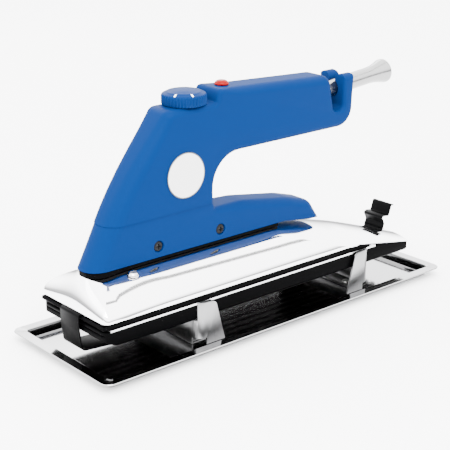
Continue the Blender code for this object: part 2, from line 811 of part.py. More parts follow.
def make_handle_body():
    bottom = SEAM_Z + GAP
    outer = [
        (slanted_x(bottom), bottom, 0.0, 0.0, NOSE_ROUND),
        *[(slanted_x(z), z, 0.0, edge, edge) for z, edge in FRONT_EDGE],
        (slanted_x(PLATFORM_Z), PLATFORM_Z, 9.0, 8.0, 5.0),
        (-33.5, PLATFORM_Z, 2.0, 4.0, 3.0),
        (-30.5, 173.6, 3.8, 3.0, 3.4),
        (-12.0, 172.7, 0.0, 7.0, 7.0),
        (79.5, 168.2, 8.0, 7.0, 6.0),
        (82.5, 139.5, 4.5, 3.0, 3.0),
        (93.0, 139.5, 4.5, 3.0, 3.0),
        (93.0, 167.5, 3.2, 2.4, 2.4),
        (103.8, 167.5, 3.8, 2.4, 2.8),
        (104.2, GRIP_BOTTOM, 15.0, 5.0, 4.0),
        (NECK_BACK_X, GRIP_BOTTOM, 24.0, 4.0, 4.0),
        (NECK_BACK_X, bottom, 0.0, 4.0, 0.0),
    ]
    body = make_object("handle_body", rounded_slab(outer, GRIP_Y), "blue_plastic")
    inner = [
        (slanted_x(SEAM_Z - 6.0) + 9.0, SEAM_Z - 6.0, 0.0),
        (slanted_x(PLATFORM_Z) + 7.0, PLATFORM_Z - 2.8, 6.0),
        (-31.0, PLATFORM_Z - 2.8, 0.0),
        (-27.5, 170.0, 1.0),
        (73.5, 165.0, 4.0),
        (76.4, GRIP_BOTTOM + 3.0, 3.0),
        (NECK_BACK_X - 3.0, GRIP_BOTTOM + 3.0, 24.0),
        (NECK_BACK_X - 3.0, SEAM_Z - 6.0, 0.0),
    ]
    inner_y = GRIP_Y - HANDLE_WALL
    cut(
        body,
        prism(rounded_outline(inner, 3), -inner_y, inner_y),
        rod(5.3, PLATFORM_Z - 6.0, PLATFORM_Z + 3.0, (DIAL_X, 0.0)),
        rod(4.5, 165.0, 178.0, (LAMP_X, 0.0)),
        along_guard(rod(GUARD_RADIUS + GAP, 4.0, 48.0)),
        lobe_cutter(),
    )
    # The exact solver returns nothing for the lobes' tangent arcs.
    body.modifiers[-1].solver = "MANIFOLD"


def make_handle_skirt():
    outer = [
        (slanted_x(HANDLE_BOTTOM), HANDLE_BOTTOM, 0.0, 0.0, NOSE_ROUND),
        (slanted_x(77.0), 77.0, 0.0, NOSE_ROUND, NOSE_ROUND),
        (slanted_x(SEAM_Z), SEAM_Z, 0.0, NOSE_ROUND, 0.0),
        (NECK_BACK_X, SEAM_Z, 0.0, 0.0, 3.0),
        (NECK_BACK_X + 1.5, 88.0, 2.0, 3.0, 5.0),
        (-6.0, 87.2, 60.0, 7.0, 7.0),
        (40.0, 79.6, 60.0, 7.0, 7.0),
        (62.5, 73.1, 13.0, 7.0, 7.0),
        (72.2, 57.4, 0.0, 6.0, 1.5),
        (60.0, 58.6, 0.0, 1.5, 1.5),
        (29.0, HANDLE_BOTTOM, 0.0, 1.5, 0.0),
    ]
    skirt = make_object("handle_skirt", rounded_slab(outer, SKIRT_Y), "blue_plastic")
    inner = [
        (slanted_x(HANDLE_BOTTOM) + 12.0, HANDLE_BOTTOM - 4.0, 0.0),
        (slanted_x(SEAM_Z) + 10.5, SEAM_Z + 5.0, 0.0),
        (NECK_BACK_X - 3.0, SEAM_Z + 5.0, 0.0),
        (NECK_BACK_X - 3.0, 84.0, 2.0),
        (4.0, 82.6, 30.0),
        (57.0, 71.0, 5.0),
        (54.0, 63.0, 1.0),
        (26.5, 66.4, 0.0),
        (26.5, HANDLE_BOTTOM - 4.0, 0.0),
    ]
    inner_y = SKIRT_Y - HANDLE_WALL
    tools = [prism(rounded_outline(inner, 3), -inner_y, inner_y)]
    for x in SIDE_SCREW_X:
        for side in (-1, 1):
            through = turned([(1.9, 8.0), (1.9, 11.6), (4.3, 11.6), (4.3, 15.0)], 18)
            turn = Matrix.Rotation(math.radians(-90 * side), 3, "X")
            tools.append(moved(through, (x, 0.0, SIDE_SCREW_Z), turn))
    cut(skirt, *tools)


def make_side_screws():
    for number, x in enumerate(SIDE_SCREW_X, 1):
        for side, place in ((-1, "near"), (1, "far")):
            profile = [
                (1.5, 6.6),
                (1.5, 11.6 + GAP),
                (3.6, 11.6 + GAP),
                (3.6, 12.2),
                (2.6, 12.8),
            ]
            screw = turned(profile, 18)
            turn = Matrix.Rotation(math.radians(-90 * side), 3, "X")
            moved(screw, (x, 0.0, SIDE_SCREW_Z), turn)
            made = make_object("side_screw_%s_%d" % (place, number), screw, "black_steel")
            cross = []
            for long_way in (True, False):
                a, b = (1.9, 0.45) if long_way else (0.45, 1.9)
                low_y, high_y = sorted((side * 11.9, side * 14.0))
                cross.append(
                    box(
                        (x - a, low_y, SIDE_SCREW_Z - b),
                        (x + a, high_y, SIDE_SCREW_Z + b),
                    )
                )
            cut(made, *cross)


def make_handle_bracket():
    base_z = HANDLE_BOTTOM + 0.4
    low_x, high_x = -103.0, 20.0
    channel = [
        (-9.4, base_z),
        (9.4, base_z),
        (9.4, 77.0),
        (7.9, 77.0),
        (7.9, base_z + 1.5),
        (-7.9, base_z + 1.5),
        (-7.9, 77.0),
        (-9.4, 77.0),
    ]
    bracket = make_object("handle_bracket", prism(channel, low_x, high_x, "X"), "zinc_steel")
    holes = [rod(r, base_z - 2.0, base_z + 4.0, (x, y), 12) for x, y, r in STUD_HOLES + CAPILLARY_HOLE]
    for x in SIDE_SCREW_X:
        hole = turned([(1.8, -12.0), (1.8, 12.0)], 12)
        holes.append(moved(hole, (x, 0.0, SIDE_SCREW_Z), TIP_TO_Y))
    cut(bracket, *holes)


def make_studs():
    for x, place in zip(STUD_X, ("front", "rear")):
        shank = turned([(2.2, 25.8), (2.5, 26.3), (2.5, 72.6), (2.0, 73.4)], 16)
        make_object("handle_stud_" + place, moved(shank, (x, 0.0, 0.0)), "zinc_steel")
        low = HANDLE_BOTTOM + 0.4 + 1.5 + GAP
        outline = [
            (x + 4.6 * math.cos(math.radians(60 * k)), 4.6 * math.sin(math.radians(60 * k)))
            for k in range(6)
        ]
        nut = make_object("handle_nut_" + place, prism(outline, low, low + 4.0, "Z"), "zinc_steel")
        cut(nut, rod(2.8, low - 1.0, low + 6.0, (x, 0.0), 16))


def at_cover_screw(built, side):
    """Stand a shape made about +Z on the sloping cover at a cover screw."""
    x, y = COVER_SCREW
    turn = Matrix.Rotation(-side * COVER_SCREW_TILT, 3, "X")
    return moved(built, (x, side * y, crown_z(x, y)), turn)


def make_cover_screws():
    seat = 0.45
    for side, place in ((-1, "near"), (1, "far")):
        profile = [
            (1.6, -9.0),
            (1.6, seat),
            (4.0, seat),
            (3.8, seat + 0.9),
            (2.9, seat + 1.9),
            (1.5, seat + 2.5),
        ]
        screw = at_cover_screw(turned(profile, 20), side)
        made = make_object("cover_screw_" + place, screw, "chrome")
        slot = box((-2.6, -0.4, seat + 1.5), (2.6, 0.4, seat + 4.0))
        cut(made, at_cover_screw(slot, side))
        nut = box((-3.6, -3.6, -COVER_SHEET - 3.4), (3.6, 3.6, -COVER_SHEET - 1.0))
        nut = make_object("cover_nut_" + place, at_cover_screw(nut, side), "zinc_steel")
        cut(nut, at_cover_screw(turned([(1.9, -8.0), (1.9, 4.0)], 12), side))


def dial_ring(radius, level, rib):
    ring = []
    for step in range(DIAL_RIBS * 2):
        angle = math.pi * step / DIAL_RIBS
        reach = radius - (rib if step % 2 else 0.0)
        ring.append((DIAL_X + reach * math.cos(angle), reach * math.sin(angle), level))
    return ring


def make_dial():
    low = PLATFORM_Z - 1.2 + 1.5
    rings = [
        dial_ring(DIAL_RADIUS - 0.9, low, 0.4),
        dial_ring(DIAL_RADIUS, low + 0.7, 0.6),
        dial_ring(DIAL_RADIUS, low + 6.6, 0.6),
        dial_ring(DIAL_RADIUS - 0.6, low + 7.4, 0.0),
        dial_ring(DIAL_RADIUS - 3.6, low + 8.9, 0.0),
        dial_ring(DIAL_RADIUS - 9.0, low + 10.2, 0.0),
        dial_ring(DIAL_RADIUS - 15.0, low + 10.6, 0.0),
    ]
    dial = make_object("thermostat_dial", loft(rings), "dial_blue", 40.0)
    cut(dial, rod(3.3, low - 2.0, low + 6.0, (DIAL_X, 0.0), 16))
    set_origin(dial, (DIAL_X, 0.0, low))
    spindle = turned([(2.6, 147.6), (3.0, 148.0), (3.0, low + 5.2), (2.6, low + 5.6)], 16)
    shaft = make_object("dial_spindle", moved(spindle, (DIAL_X, 0.0, 0.0)), "brass")
    set_origin(shaft, (DIAL_X, 0.0, low))


def make_thermostat():
    switch = make_object(
        "thermostat_switch",
        box((DIAL_X - 12.0, -9.0, 131.0), (DIAL_X + 11.0, 9.0, 151.0)),
        "black_phenolic",
    )
    neck = turned([(5.0, 150.0), (5.0, PLATFORM_Z - 0.6)], 20)
    combine(switch, "UNION", moved(neck, (DIAL_X, 0.0, 0.0)))
    cut(switch, rod(3.3, 147.3, PLATFORM_Z + 3.0, (DIAL_X, 0.0), 16))
    bulb = turned([(1.2, 0.0), (2.0, 0.8), (2.0, 63.2), (1.2, 64.0)], 12)
    moved(bulb, (-34.0, BULB_Y, 28.4), TIP_TO_X)
    make_object("sensor_bulb", bulb, "copper")
    route = [
        (-60.0, 0.0, 130.5),
        (-60.0, 0.0, 118.0),
        (-62.0, 2.0, 100.0),
        (-60.0, 1.0, 84.0),
        (-60.0, 0.0, 70.0),
        (-60.0, 0.0, 50.0),
        (-60.0, 0.0, 36.0),
        (-57.0, 2.0, 29.8),
        (-49.0, 6.5, 28.4),
        (-42.0, BULB_Y, 28.4),
        (-34.6, BULB_Y, 28.4),
    ]
    wire("capillary_tube", route, 0.9, "copper", 1)


def make_lamp():
    seat = 173.6
    lens = turned(
        [
            (4.2, 164.0),
            (4.2, seat),
            (5.3, seat),
            (5.3, seat + 0.8),
            (4.6, seat + 1.9),
            (3.0, seat + 2.8),
            (1.2, seat + 3.1),
        ],
        24,
    )
    made = make_object("pilot_lamp_lens", moved(lens, (LAMP_X, 0.0, 0.0)), "lamp_red")
    cut(made, rod(3.0, 162.0, seat + 1.0, (LAMP_X, 0.0), 16))
    bulb = turned([(1.4, 155.0), (2.4, 156.0), (2.4, seat - 1.5), (1.0, seat - 0.2)], 14)
    make_object("pilot_lamp_bulb", moved(bulb, (LAMP_X, 0.0, 0.0)), "glass")


def make_cord_guard():
    end = GUARD_LENGTH
    outer = [
        (8.2, 0.0),
        (8.2, 3.0),
        (GUARD_RADIUS, 3.0),
        (GUARD_RADIUS, end - 19.0),
        (GUARD_RADIUS + 0.5, end - 13.0),
        (GUARD_RADIUS + 1.5, end - 8.0),
        (GUARD_RADIUS + 2.9, end - 3.0),
        (GUARD_RADIUS + 3.0, end - 1.0),
        (GUARD_RADIUS + 2.4, end),
    ]
    inner = [
        (GUARD_RADIUS + 1.4, end - 0.4),
        (GUARD_RADIUS - 0.4, end - 8.0),
        (GUARD_RADIUS - 1.6, end - 17.0),
        (GUARD_RADIUS - 1.8, 0.0),
    ]
    tube = along_guard(turned_tube(outer + inner, 32))
    make_object("cord_guard", tube, "guard_metal")


def make_grip_fittings():
    block = make_object(
        "terminal_block", box((24.0, -7.5, 133.0), (46.0, 7.5, 146.0)), "label_white"
    )
    cut(block, *[moved(turned([(1.9, 20.0), (1.9, 50.0)], 10), (0.0, y, 140.0), TIP_TO_X) for y in (-4.6, 0.0, 4.6)])
    bar = make_object("cord_clamp", box((54.0, -9.6, 143.2), (64.0, 9.6, 146.0)), "zinc_steel")
    cut(bar, *[rod(1.9, 140.0, 150.0, (59.0, y), 12) for y in (-7.4, 7.4)])
    for y, place in ((-7.4, "near"), (7.4, "far")):
        screw = turned(
            [(1.5, 132.6), (1.5, 146.0 + GAP), (2.8, 146.0 + GAP), (2.8, 147.6), (1.6, 148.4)], 14
        )
        make_object("clamp_screw_" + place, moved(screw, (59.0, y, 0.0)), "zinc_steel")


def lead_tail(side):
    """Both heater leads run back, down through the cover and out to a terminal."""
    return [
        (-38.0, side * 4.5, 77.0),
        (5.0, side * 4.5, 77.5),
        (18.0, side * 3.4, 75.0),
        (LEAD_HOLE_X, side * 1.35, 68.0),
        (LEAD_HOLE_X, side * 1.35, 58.0),
        (28.0, side * 3.0, 51.5),
        (44.0, side * 12.0, 49.0),
        (58.0, side * 17.5, 47.0),
        (69.1, side * 18.0, 45.8),
    ]


def make_leads():
    wire(
        "live_lead",
        [(23.0, -4.6, 140.0), (8.0, -5.5, 141.0), (-15.0, -5.0, 143.0), (-32.0, -4.0, 145.0), (-40.2, -4.0, 145.0)],
        1.1,
        "wire_brown",
        1,
    )
    wire(
        "switched_lead",
        [(-46.0, -5.0, 130.4), (-46.0, -5.0, 120.0), (-50.0, -5.0, 98.0), (-49.0, -5.0, 84.0)] + lead_tail(-1),
        1.1,
        "wire_brown",
        1,
    )
    wire(
        "neutral_lead",
        [(23.0, 0.0, 140.0), (0.0, 2.0, 138.0), (-30.0, 5.0, 138.0), (-45.6, 5.0, 122.0), (-50.0, 5.0, 98.0), (-49.0, 5.0, 84.0)] + lead_tail(1),
        1.1,
        "wire_blue",
        1,
    )
    wire(
        "earth_lead",
        [(23.0, 4.6, 140.0), (-2.0, 6.6, 134.6), (-30.0, 8.4, 134.6), (-47.0, 8.4, 116.0), (-74.0, 7.0, 96.0), (-76.0, 5.0, 80.0), (-76.0, 5.0, 66.0)],
        1.1,
        "wire_green",
        1,
    )


def strip(path, thickness):
    """A thin strip's closed side outline, from its centre path."""
    left, right = [], []
    for index, point in enumerate(path):
        here = Vector(point)
        before = Vector(path[max(index - 1, 0)])
        after = Vector(path[min(index + 1, len(path) - 1)])
        direction = (after - before).normalized()
        normal = Vector((-direction.y, direction.x))
        left.append(tuple(here + normal * thickness / 2.0))
        right.append(tuple(here - normal * thickness / 2.0))
    return left + right[::-1]


def bent_path(corners, steps=3):
    """An open path with its inner corners rounded."""
    path = [corners[0][:2]]
    for before, here, after in zip(corners, corners[1:], corners[2:]):
        trio = [(*before[:2], 0.0), here, (*after[:2], 0.0)]
        path += rounded_outline(trio, steps)[1:-1]
    path.append(corners[-1][:2])
    return path


def make_strap():
    path = bent_path(
        [
            (-138.0, 37.4, 0.0),
            (-152.6, 37.4, 1.6),
            (-152.6, 26.0, 8.0),
            (-150.8, 11.0, 4.0),
            (-118.0, 8.2, 0.0),
        ]
    )
    outline = strip(path, 1.1)
    make_object(
        "front_strap", prism(outline, -STRAP_WIDTH / 2.0, STRAP_WIDTH / 2.0), "black_steel"
    )


def make_clip():
    surface = ridge_z_at(CLIP_X)
    path = bent_path(
        [
            (CLIP_X - 9.0, surface - 2.6, 0.0),
            (CLIP_X, surface - 4.2, 1.2),
            (CLIP_X + 0.2, surface + 1.0, 2.0),
            (CLIP_X + 1.4, surface + 3.6, 2.4),
            (CLIP_X - 0.2, surface + 7.0, 2.4),
            (CLIP_X - 1.8, surface + 9.8, 0.9),
            (CLIP_X + 1.2, surface + 10.7, 1.1),
            (CLIP_X + 6.4, surface + 9.9, 1.2),
            (CLIP_X + 7.6, surface + 13.8, 4.0),
            (CLIP_X + 9.2, surface + 18.4, 0.8),
            (CLIP_X + 11.8, surface + 17.7, 0.0),
        ]
    )
    outline = strip(path, 1.0)
    low = CLIP_Y - CLIP_WIDTH / 2.0
    clip = make_object("rear_clip", prism(outline, low, low + CLIP_WIDTH), "black_steel")
    set_origin(clip, (CLIP_X, CLIP_Y, surface - 4.2))


def make_label():
    disc = turned([(16.5, 0.0), (16.5, 0.4)], 40)
    moved(disc, (-62.0, -GRIP_Y - GAP, 118.0), Matrix.Rotation(math.radians(90), 3, "X"))
    make_object("side_label", disc, "label_white")


def main():
    clear_scene()
    make_tray()
    make_bracket("front_bracket", FRONT_WEB_X, 1)
    make_bracket("rear_bracket", REAR_WEB_X, -1)
    make_sole()
    make_heater()
    make_base_stack()
    make_cover()
    make_gasket()
    make_handle_body()
    make_handle_skirt()
    make_handle_bracket()
    make_side_screws()
    make_studs()
    make_cover_screws()
    make_dial()
    make_thermostat()
    make_lamp()
    make_cord_guard()
    make_grip_fittings()
    make_leads()
    make_strap()
    make_clip()
    make_label()


main()
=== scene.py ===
import json
import math

import bmesh
import bpy
from mathutils import Matrix, Vector


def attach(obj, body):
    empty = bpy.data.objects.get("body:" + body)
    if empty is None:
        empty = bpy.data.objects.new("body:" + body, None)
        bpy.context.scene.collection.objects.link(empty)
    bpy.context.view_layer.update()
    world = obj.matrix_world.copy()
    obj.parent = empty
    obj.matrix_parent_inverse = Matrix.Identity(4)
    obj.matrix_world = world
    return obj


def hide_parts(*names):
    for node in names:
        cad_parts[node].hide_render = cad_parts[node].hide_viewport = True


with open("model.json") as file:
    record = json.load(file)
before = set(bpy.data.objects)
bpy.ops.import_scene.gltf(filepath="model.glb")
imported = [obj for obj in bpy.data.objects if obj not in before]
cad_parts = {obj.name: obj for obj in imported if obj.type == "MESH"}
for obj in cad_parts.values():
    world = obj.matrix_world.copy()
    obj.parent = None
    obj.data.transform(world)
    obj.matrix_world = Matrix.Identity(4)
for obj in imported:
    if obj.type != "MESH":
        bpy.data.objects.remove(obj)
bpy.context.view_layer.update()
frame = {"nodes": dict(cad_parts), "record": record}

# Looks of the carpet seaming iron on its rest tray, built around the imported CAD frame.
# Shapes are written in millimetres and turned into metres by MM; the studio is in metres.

MM = 0.001
GAP = 0.3

# Rest tray
TRAY_LENGTH = 330.0
TRAY_WIDTH = 118.0
TRAY_HEIGHT = 7.0
TRAY_SHEET = 1.0
TRAY_FLANGE = 7.7
TRAY_CORNER = 7.0

# Rest brackets: the web stands across the tray, the ears run along its sides
EAR_Y = 41.0
BRACKET_SHEET = 1.2
WEB_TOP = 19.9
FRONT_WEB_X = -74.5
REAR_WEB_X = 99.5
BRACKET_BEND = 7.0
EAR_TOP = 33.6
EAR_TOP_LENGTH = 16.5
EAR_FOOT_LENGTH = 25.0
EAR_CLEAR_Y = 38.6
RIVET_FROM_WEB = 9.0

# Heated base
NOSE_X = -150.0
TAIL_X = 145.5
TAIL_STEP_X = 110.0
SOLE_Y = 38.0
SOLE_BOTTOM = 20.2
SOLE_TOP = 31.8
GROOVE_PITCH = 7.5
GROOVE_DEPTH = 1.6

# Chrome cover
RIM_Z = 38.5
RIM_Y = 39.0
LIP_X = -150.5
TOP_FRONT_EDGE_X = -134.0
TOP_FRONT_MIDDLE_X = -141.0
COVER_SHEET = 0.9
CREASE_Y = 24.0
CREASE_FRONT_Y = 18.4
CREASE_Z = 57.0
RIDGE_Z = 61.5
NOSE_CROWN = 1.8
CROWN_FULL_X = -90.0
RAMP_START_X = 20.0
KINK_X = 88.0
COVER_END_X = 146.0
COVER_END_RIM_Z = 27.8

# Handle
SKIRT_Y = 13.0
GRIP_Y = 13.8
HANDLE_WALL = 2.8
NOSE_ROUND = 12.0
HANDLE_BOTTOM = 63.4
SEAM_Z = 92.3
NOSE_FOOT_X = -142.6
NOSE_FOOT_Z = 62.8
NOSE_SLOPE = 0.6285
NOSE_BOW = 4.8
NOSE_TOP_SHIFT = 3.5
PLATFORM_Z = 164.5
GRIP_BOTTOM = 126.7
NECK_BACK_X = -35.8
FRONT_EDGE = [(102.0, 11.6), (113.0, 11.2), (126.0, 10.4), (139.0, 9.6), (152.0, 8.8)]

# Thermostat dial, pilot lamp and cord guard
DIAL_X = -52.0
DIAL_RADIUS = 16.0
DIAL_RIBS = 44
LAMP_X = -18.0
GUARD_START = (68.5, 152.5)
GUARD_ANGLE = math.radians(5.44)
GUARD_RADIUS = 6.4
GUARD_LENGTH = 83.0

# Fasteners
SIDE_SCREW_X = (-86.0, -30.0)
SIDE_SCREW_Z = 71.2
COVER_SCREW = (-112.5, 18.2)
COVER_SCREW_TILT = math.radians(15.6)
RIVET_Y = 24.0

# Clip at the tail and strap at the nose
CLIP_X = 142.0
CLIP_Y = -5.0
CLIP_WIDTH = 20.0
STRAP_WIDTH = 22.0


def loft(rings, closed_ends=True):
    """Join closed rings of equal length into one bmesh body."""
    built = bmesh.new()
    loops = [[built.verts.new(point) for point in ring] for ring in rings]
    count = len(loops[0])
    for first, second in zip(loops, loops[1:]):
        for index in range(count):
            after = (index + 1) % count
            built.faces.new((first[index], first[after], second[after], second[index]))
    if closed_ends:
        built.faces.new(loops[0])
        built.faces.new(loops[-1])
    return built


def prism(outline, low, high, axis="Y"):
    """Extrude a flat outline; the outline's plane is the one across the axis."""
    place = {
        "X": lambda a, b, c: (c, a, b),
        "Y": lambda a, b, c: (a, c, b),
        "Z": lambda a, b, c: (a, b, c),
    }[axis]
    return loft([[place(a, b, level) for a, b in outline] for level in (low, high)])


def box(low, high):
    outline = [(low[0], low[1]), (high[0], low[1]), (high[0], high[1]), (low[0], high[1])]
    return prism(outline, low[2], high[2], "Z")


def rounded_outline(corners, steps=4):
    """Corners are (a, b, radius); each radius becomes an arc of the given steps."""
    points = []
    for index, (a, b, radius) in enumerate(corners):
        here = Vector((a, b))
        if radius <= 0.0:
            points.append((a, b))
            continue
        before = Vector(corners[index - 1][:2]) - here
        after = Vector(corners[(index + 1) % len(corners)][:2]) - here
        before.normalize()
        after.normalize()
        half = before.angle(after) / 2.0
        centre = here + (before + after).normalized() * (radius / math.sin(half))
        start = here + before * (radius / math.tan(half)) - centre
        end = here + after * (radius / math.tan(half)) - centre
        turn = start.angle_signed(end)
        for step in range(steps + 1):
            part = start.copy()
            part.rotate(Matrix.Rotation(-turn * step / steps, 2))
            points.append((centre.x + part.x, centre.y + part.y))
    return points


def turned(profile, sides=24):
    """Revolve (radius, height) pairs about Z into a closed body."""
    rings = []
    for radius, height in profile:
        turns = [2.0 * math.pi * (side + 0.4) / sides for side in range(sides)]
        rings.append([(radius * math.cos(t), radius * math.sin(t), height) for t in turns])
    return loft(rings)


def turned_tube(profile, sides=24):
    """Revolve a closed (radius, height) outline about Z into a ring-shaped body."""
    built = loft(
        [
            [
                (
                    radius * math.cos(2.0 * math.pi * side / sides),
                    radius * math.sin(2.0 * math.pi * side / sides),
                    height,
                )
                for radius, height in profile
            ]
            for side in range(sides)
        ],
        closed_ends=False,
    )
    built.verts.ensure_lookup_table()
    count = len(profile)
    last = (sides - 1) * count
    for index in range(count):
        after = (index + 1) % count
        corners = (last + index, last + after, after, index)
        built.faces.new([built.verts[corner] for corner in corners])
    return built


def moved(built, location=(0.0, 0.0, 0.0), rotation=None):
    if rotation is not None:
        bmesh.ops.rotate(built, cent=(0, 0, 0), matrix=rotation, verts=built.verts[:])
    bmesh.ops.translate(built, vec=location, verts=built.verts[:])
    return built


def rod(radius, low, high, centre=(0.0, 0.0), sides=20):
    return moved(turned([(radius, low), (radius, high)], sides), (*centre, 0.0))


def solve_pair(first, first_value, second, second_value):
    """The vector whose dot products with two directions are the given values."""
    cross = first.x * second.y - first.y * second.x
    if abs(cross) < 1e-3:
        return first * first_value
    return Vector(
        (
            (first_value * second.y - second_value * first.y) / cross,
            (second_value * first.x - first_value * second.x) / cross,
        )
    )


def inset_outline(corners, steps):
    """Points of a clockwise outline, each with its inset vector and edge radius.

    A corner is (x, z, arc radius, edge radius before it, edge radius after it).
    """
    points = []
    for index, (x, z, arc, before, after) in enumerate(corners):
        here = Vector((x, z))
        came = (here - Vector(corners[index - 1][:2])).normalized()
        goes = (Vector(corners[(index + 1) % len(corners)][:2]) - here).normalized()
        inward_before = Vector((came.y, -came.x))
        inward_after = Vector((goes.y, -goes.x))
        if arc <= 0.0:
            inset = solve_pair(inward_before, before, inward_after, after)
            points.append((here, inset, max(before, after)))
            continue
        turn = came.angle_signed(goes)
        convex = 1.0 if turn > 0.0 else -1.0
        start = here - came * (arc * math.tan(abs(turn) / 2.0))
        centre = start + inward_before * (convex * arc)
        for step in range(steps + 1):
            share = step / steps
            inward = inward_before.copy()
            inward.rotate(Matrix.Rotation(-turn * share, 2))
            radius = before + (after - before) * share
            points.append((centre - inward * (convex * arc), inward * radius, radius))
    return points


def rounded_slab(corners, half_width, steps=4, levels=4):
    """A slab across Y whose side edges are rounded by the corners' edge radii."""
    points = inset_outline(corners, steps)
    angles = [math.pi / 2.0 * level / levels for level in range(levels + 1)]
    rings = []
    for side in (-1.0, 1.0):
        half = []
        for angle in angles:
            ring = []
            for place, inset, radius in points:
                moved_in = place + inset * (1.0 - math.cos(angle))
                y = half_width - radius * (1.0 - math.sin(angle))
                ring.append((moved_in.x, side * y, moved_in.y))
            half.append(ring)
        rings += half if side > 0.0 else half[::-1]
    return loft(rings)


def rounded_rectangle(inset, level, steps=3):
    half_x = TRAY_LENGTH / 2.0 - inset
    half_y = TRAY_WIDTH / 2.0 - inset
    radius = max(TRAY_CORNER - inset, 3.0)
    corners = [
        (-half_x, -half_y, radius),
        (half_x, -half_y, radius),
        (half_x, half_y, radius),
        (-half_x, half_y, radius),
    ]
    return [(x, y, level) for x, y in rounded_outline(corners, steps)]


def rise(share):
    """How a cover side climbs from its rim: steep at the rim, then leaning in."""
    return share**0.55


def rim_z_at(x):
    if x <= KINK_X:
        return RIM_Z
    return RIM_Z + (COVER_END_RIM_Z - RIM_Z) * (x - KINK_X) / (COVER_END_X - KINK_X)


def ridge_z_at(x):
    """Height of the cover on its centre line behind the nose."""
    if x < RAMP_START_X:
        return RIDGE_Z
    return RIDGE_Z - 0.0435 * (x - RAMP_START_X) ** 1.35


def crease_at(x):
    """Where the crowned top meets the side slope: half width and height."""
    crown = (RIDGE_Z - CREASE_Z) / CREASE_Y**2
    share = 1.0
    low, high = 0.0, 1.0
    for _ in range(40):
        share = (low + high) / 2.0
        y = RIM_Y - (RIM_Y - CREASE_Y) * share
        side_z = RIM_Z + (CREASE_Z - RIM_Z) * rise(share)
        if side_z < ridge_z_at(x) - crown * y * y:
            low = share
        else:
            high = share
    y = RIM_Y - (RIM_Y - CREASE_Y) * share
    return y, RIM_Z + (CREASE_Z - RIM_Z) * rise(share)


def crown_z(x, y):
    """Height of the cover's crowned top; the gasket and the cover screws sit on it."""
    crown = (RIDGE_Z - CREASE_Z) / CREASE_Y**2
    if x < CROWN_FULL_X:
        length = CROWN_FULL_X - TOP_FRONT_MIDDLE_X
        share = min(1.0, (x - TOP_FRONT_MIDDLE_X) / length)
        ease = 1.0 - (1.0 - max(share, 0.0)) ** 2
        ridge = CREASE_Z + NOSE_CROWN + (RIDGE_Z - CREASE_Z - NOSE_CROWN) * ease
        return ridge - crown * y * y
    return ridge_z_at(x) - crown * y * y


def slanted_x(z):
    """The handle's leaning front edge, bowed forwards a little below its middle."""
    share = min(1.0, max(0.0, (z - NOSE_FOOT_Z) / (PLATFORM_Z - NOSE_FOOT_Z)))
    bow = NOSE_BOW * math.sin(math.pi * share) ** 1.5
    return NOSE_FOOT_X + NOSE_SLOPE * (z - NOSE_FOOT_Z) + NOSE_TOP_SHIFT * share**2 - bow


def along_guard(built):
    """Lay a shape made about +Z along the cord guard, from the guard's inner end."""
    turn = Matrix.Rotation(math.radians(90) - GUARD_ANGLE, 3, "Y")
    return moved(built, (GUARD_START[0], 0.0, GUARD_START[1]), turn)


def at_cover_screw(built, side):
    """Stand a shape made about +Z on the sloping cover at a cover screw."""
    x, y = COVER_SCREW
    turn = Matrix.Rotation(-side * COVER_SCREW_TILT, 3, "X")
    return moved(built, (x, side * y, crown_z(x, y)), turn)


def strip(path, thickness):
    """A thin strip's closed side outline, from its centre path."""
    left, right = [], []
    for index, point in enumerate(path):
        here = Vector(point)
        before = Vector(path[max(index - 1, 0)])
        after = Vector(path[min(index + 1, len(path) - 1)])
        direction = (after - before).normalized()
        normal = Vector((-direction.y, direction.x))
        left.append(tuple(here + normal * thickness / 2.0))
        right.append(tuple(here - normal * thickness / 2.0))
    return left + right[::-1]


def bent_path(corners, steps=3):
    """An open path with its inner corners rounded."""
    path = [corners[0][:2]]
    for before, here, after in zip(corners, corners[1:], corners[2:]):
        trio = [(*before[:2], 0.0), here, (*after[:2], 0.0)]
        path += rounded_outline(trio, steps)[1:-1]
    path.append(corners[-1][:2])
    return path


record = frame["record"]
BODY_OF = {node: body for body, nodes in record["behaviour"]["bodies"].items() for node in nodes}
SLOT_OF = {part["node"]: part["material_slot"] for part in record["subparts"]}
pieces = {}


# Materials ------------------------------------------------------------------

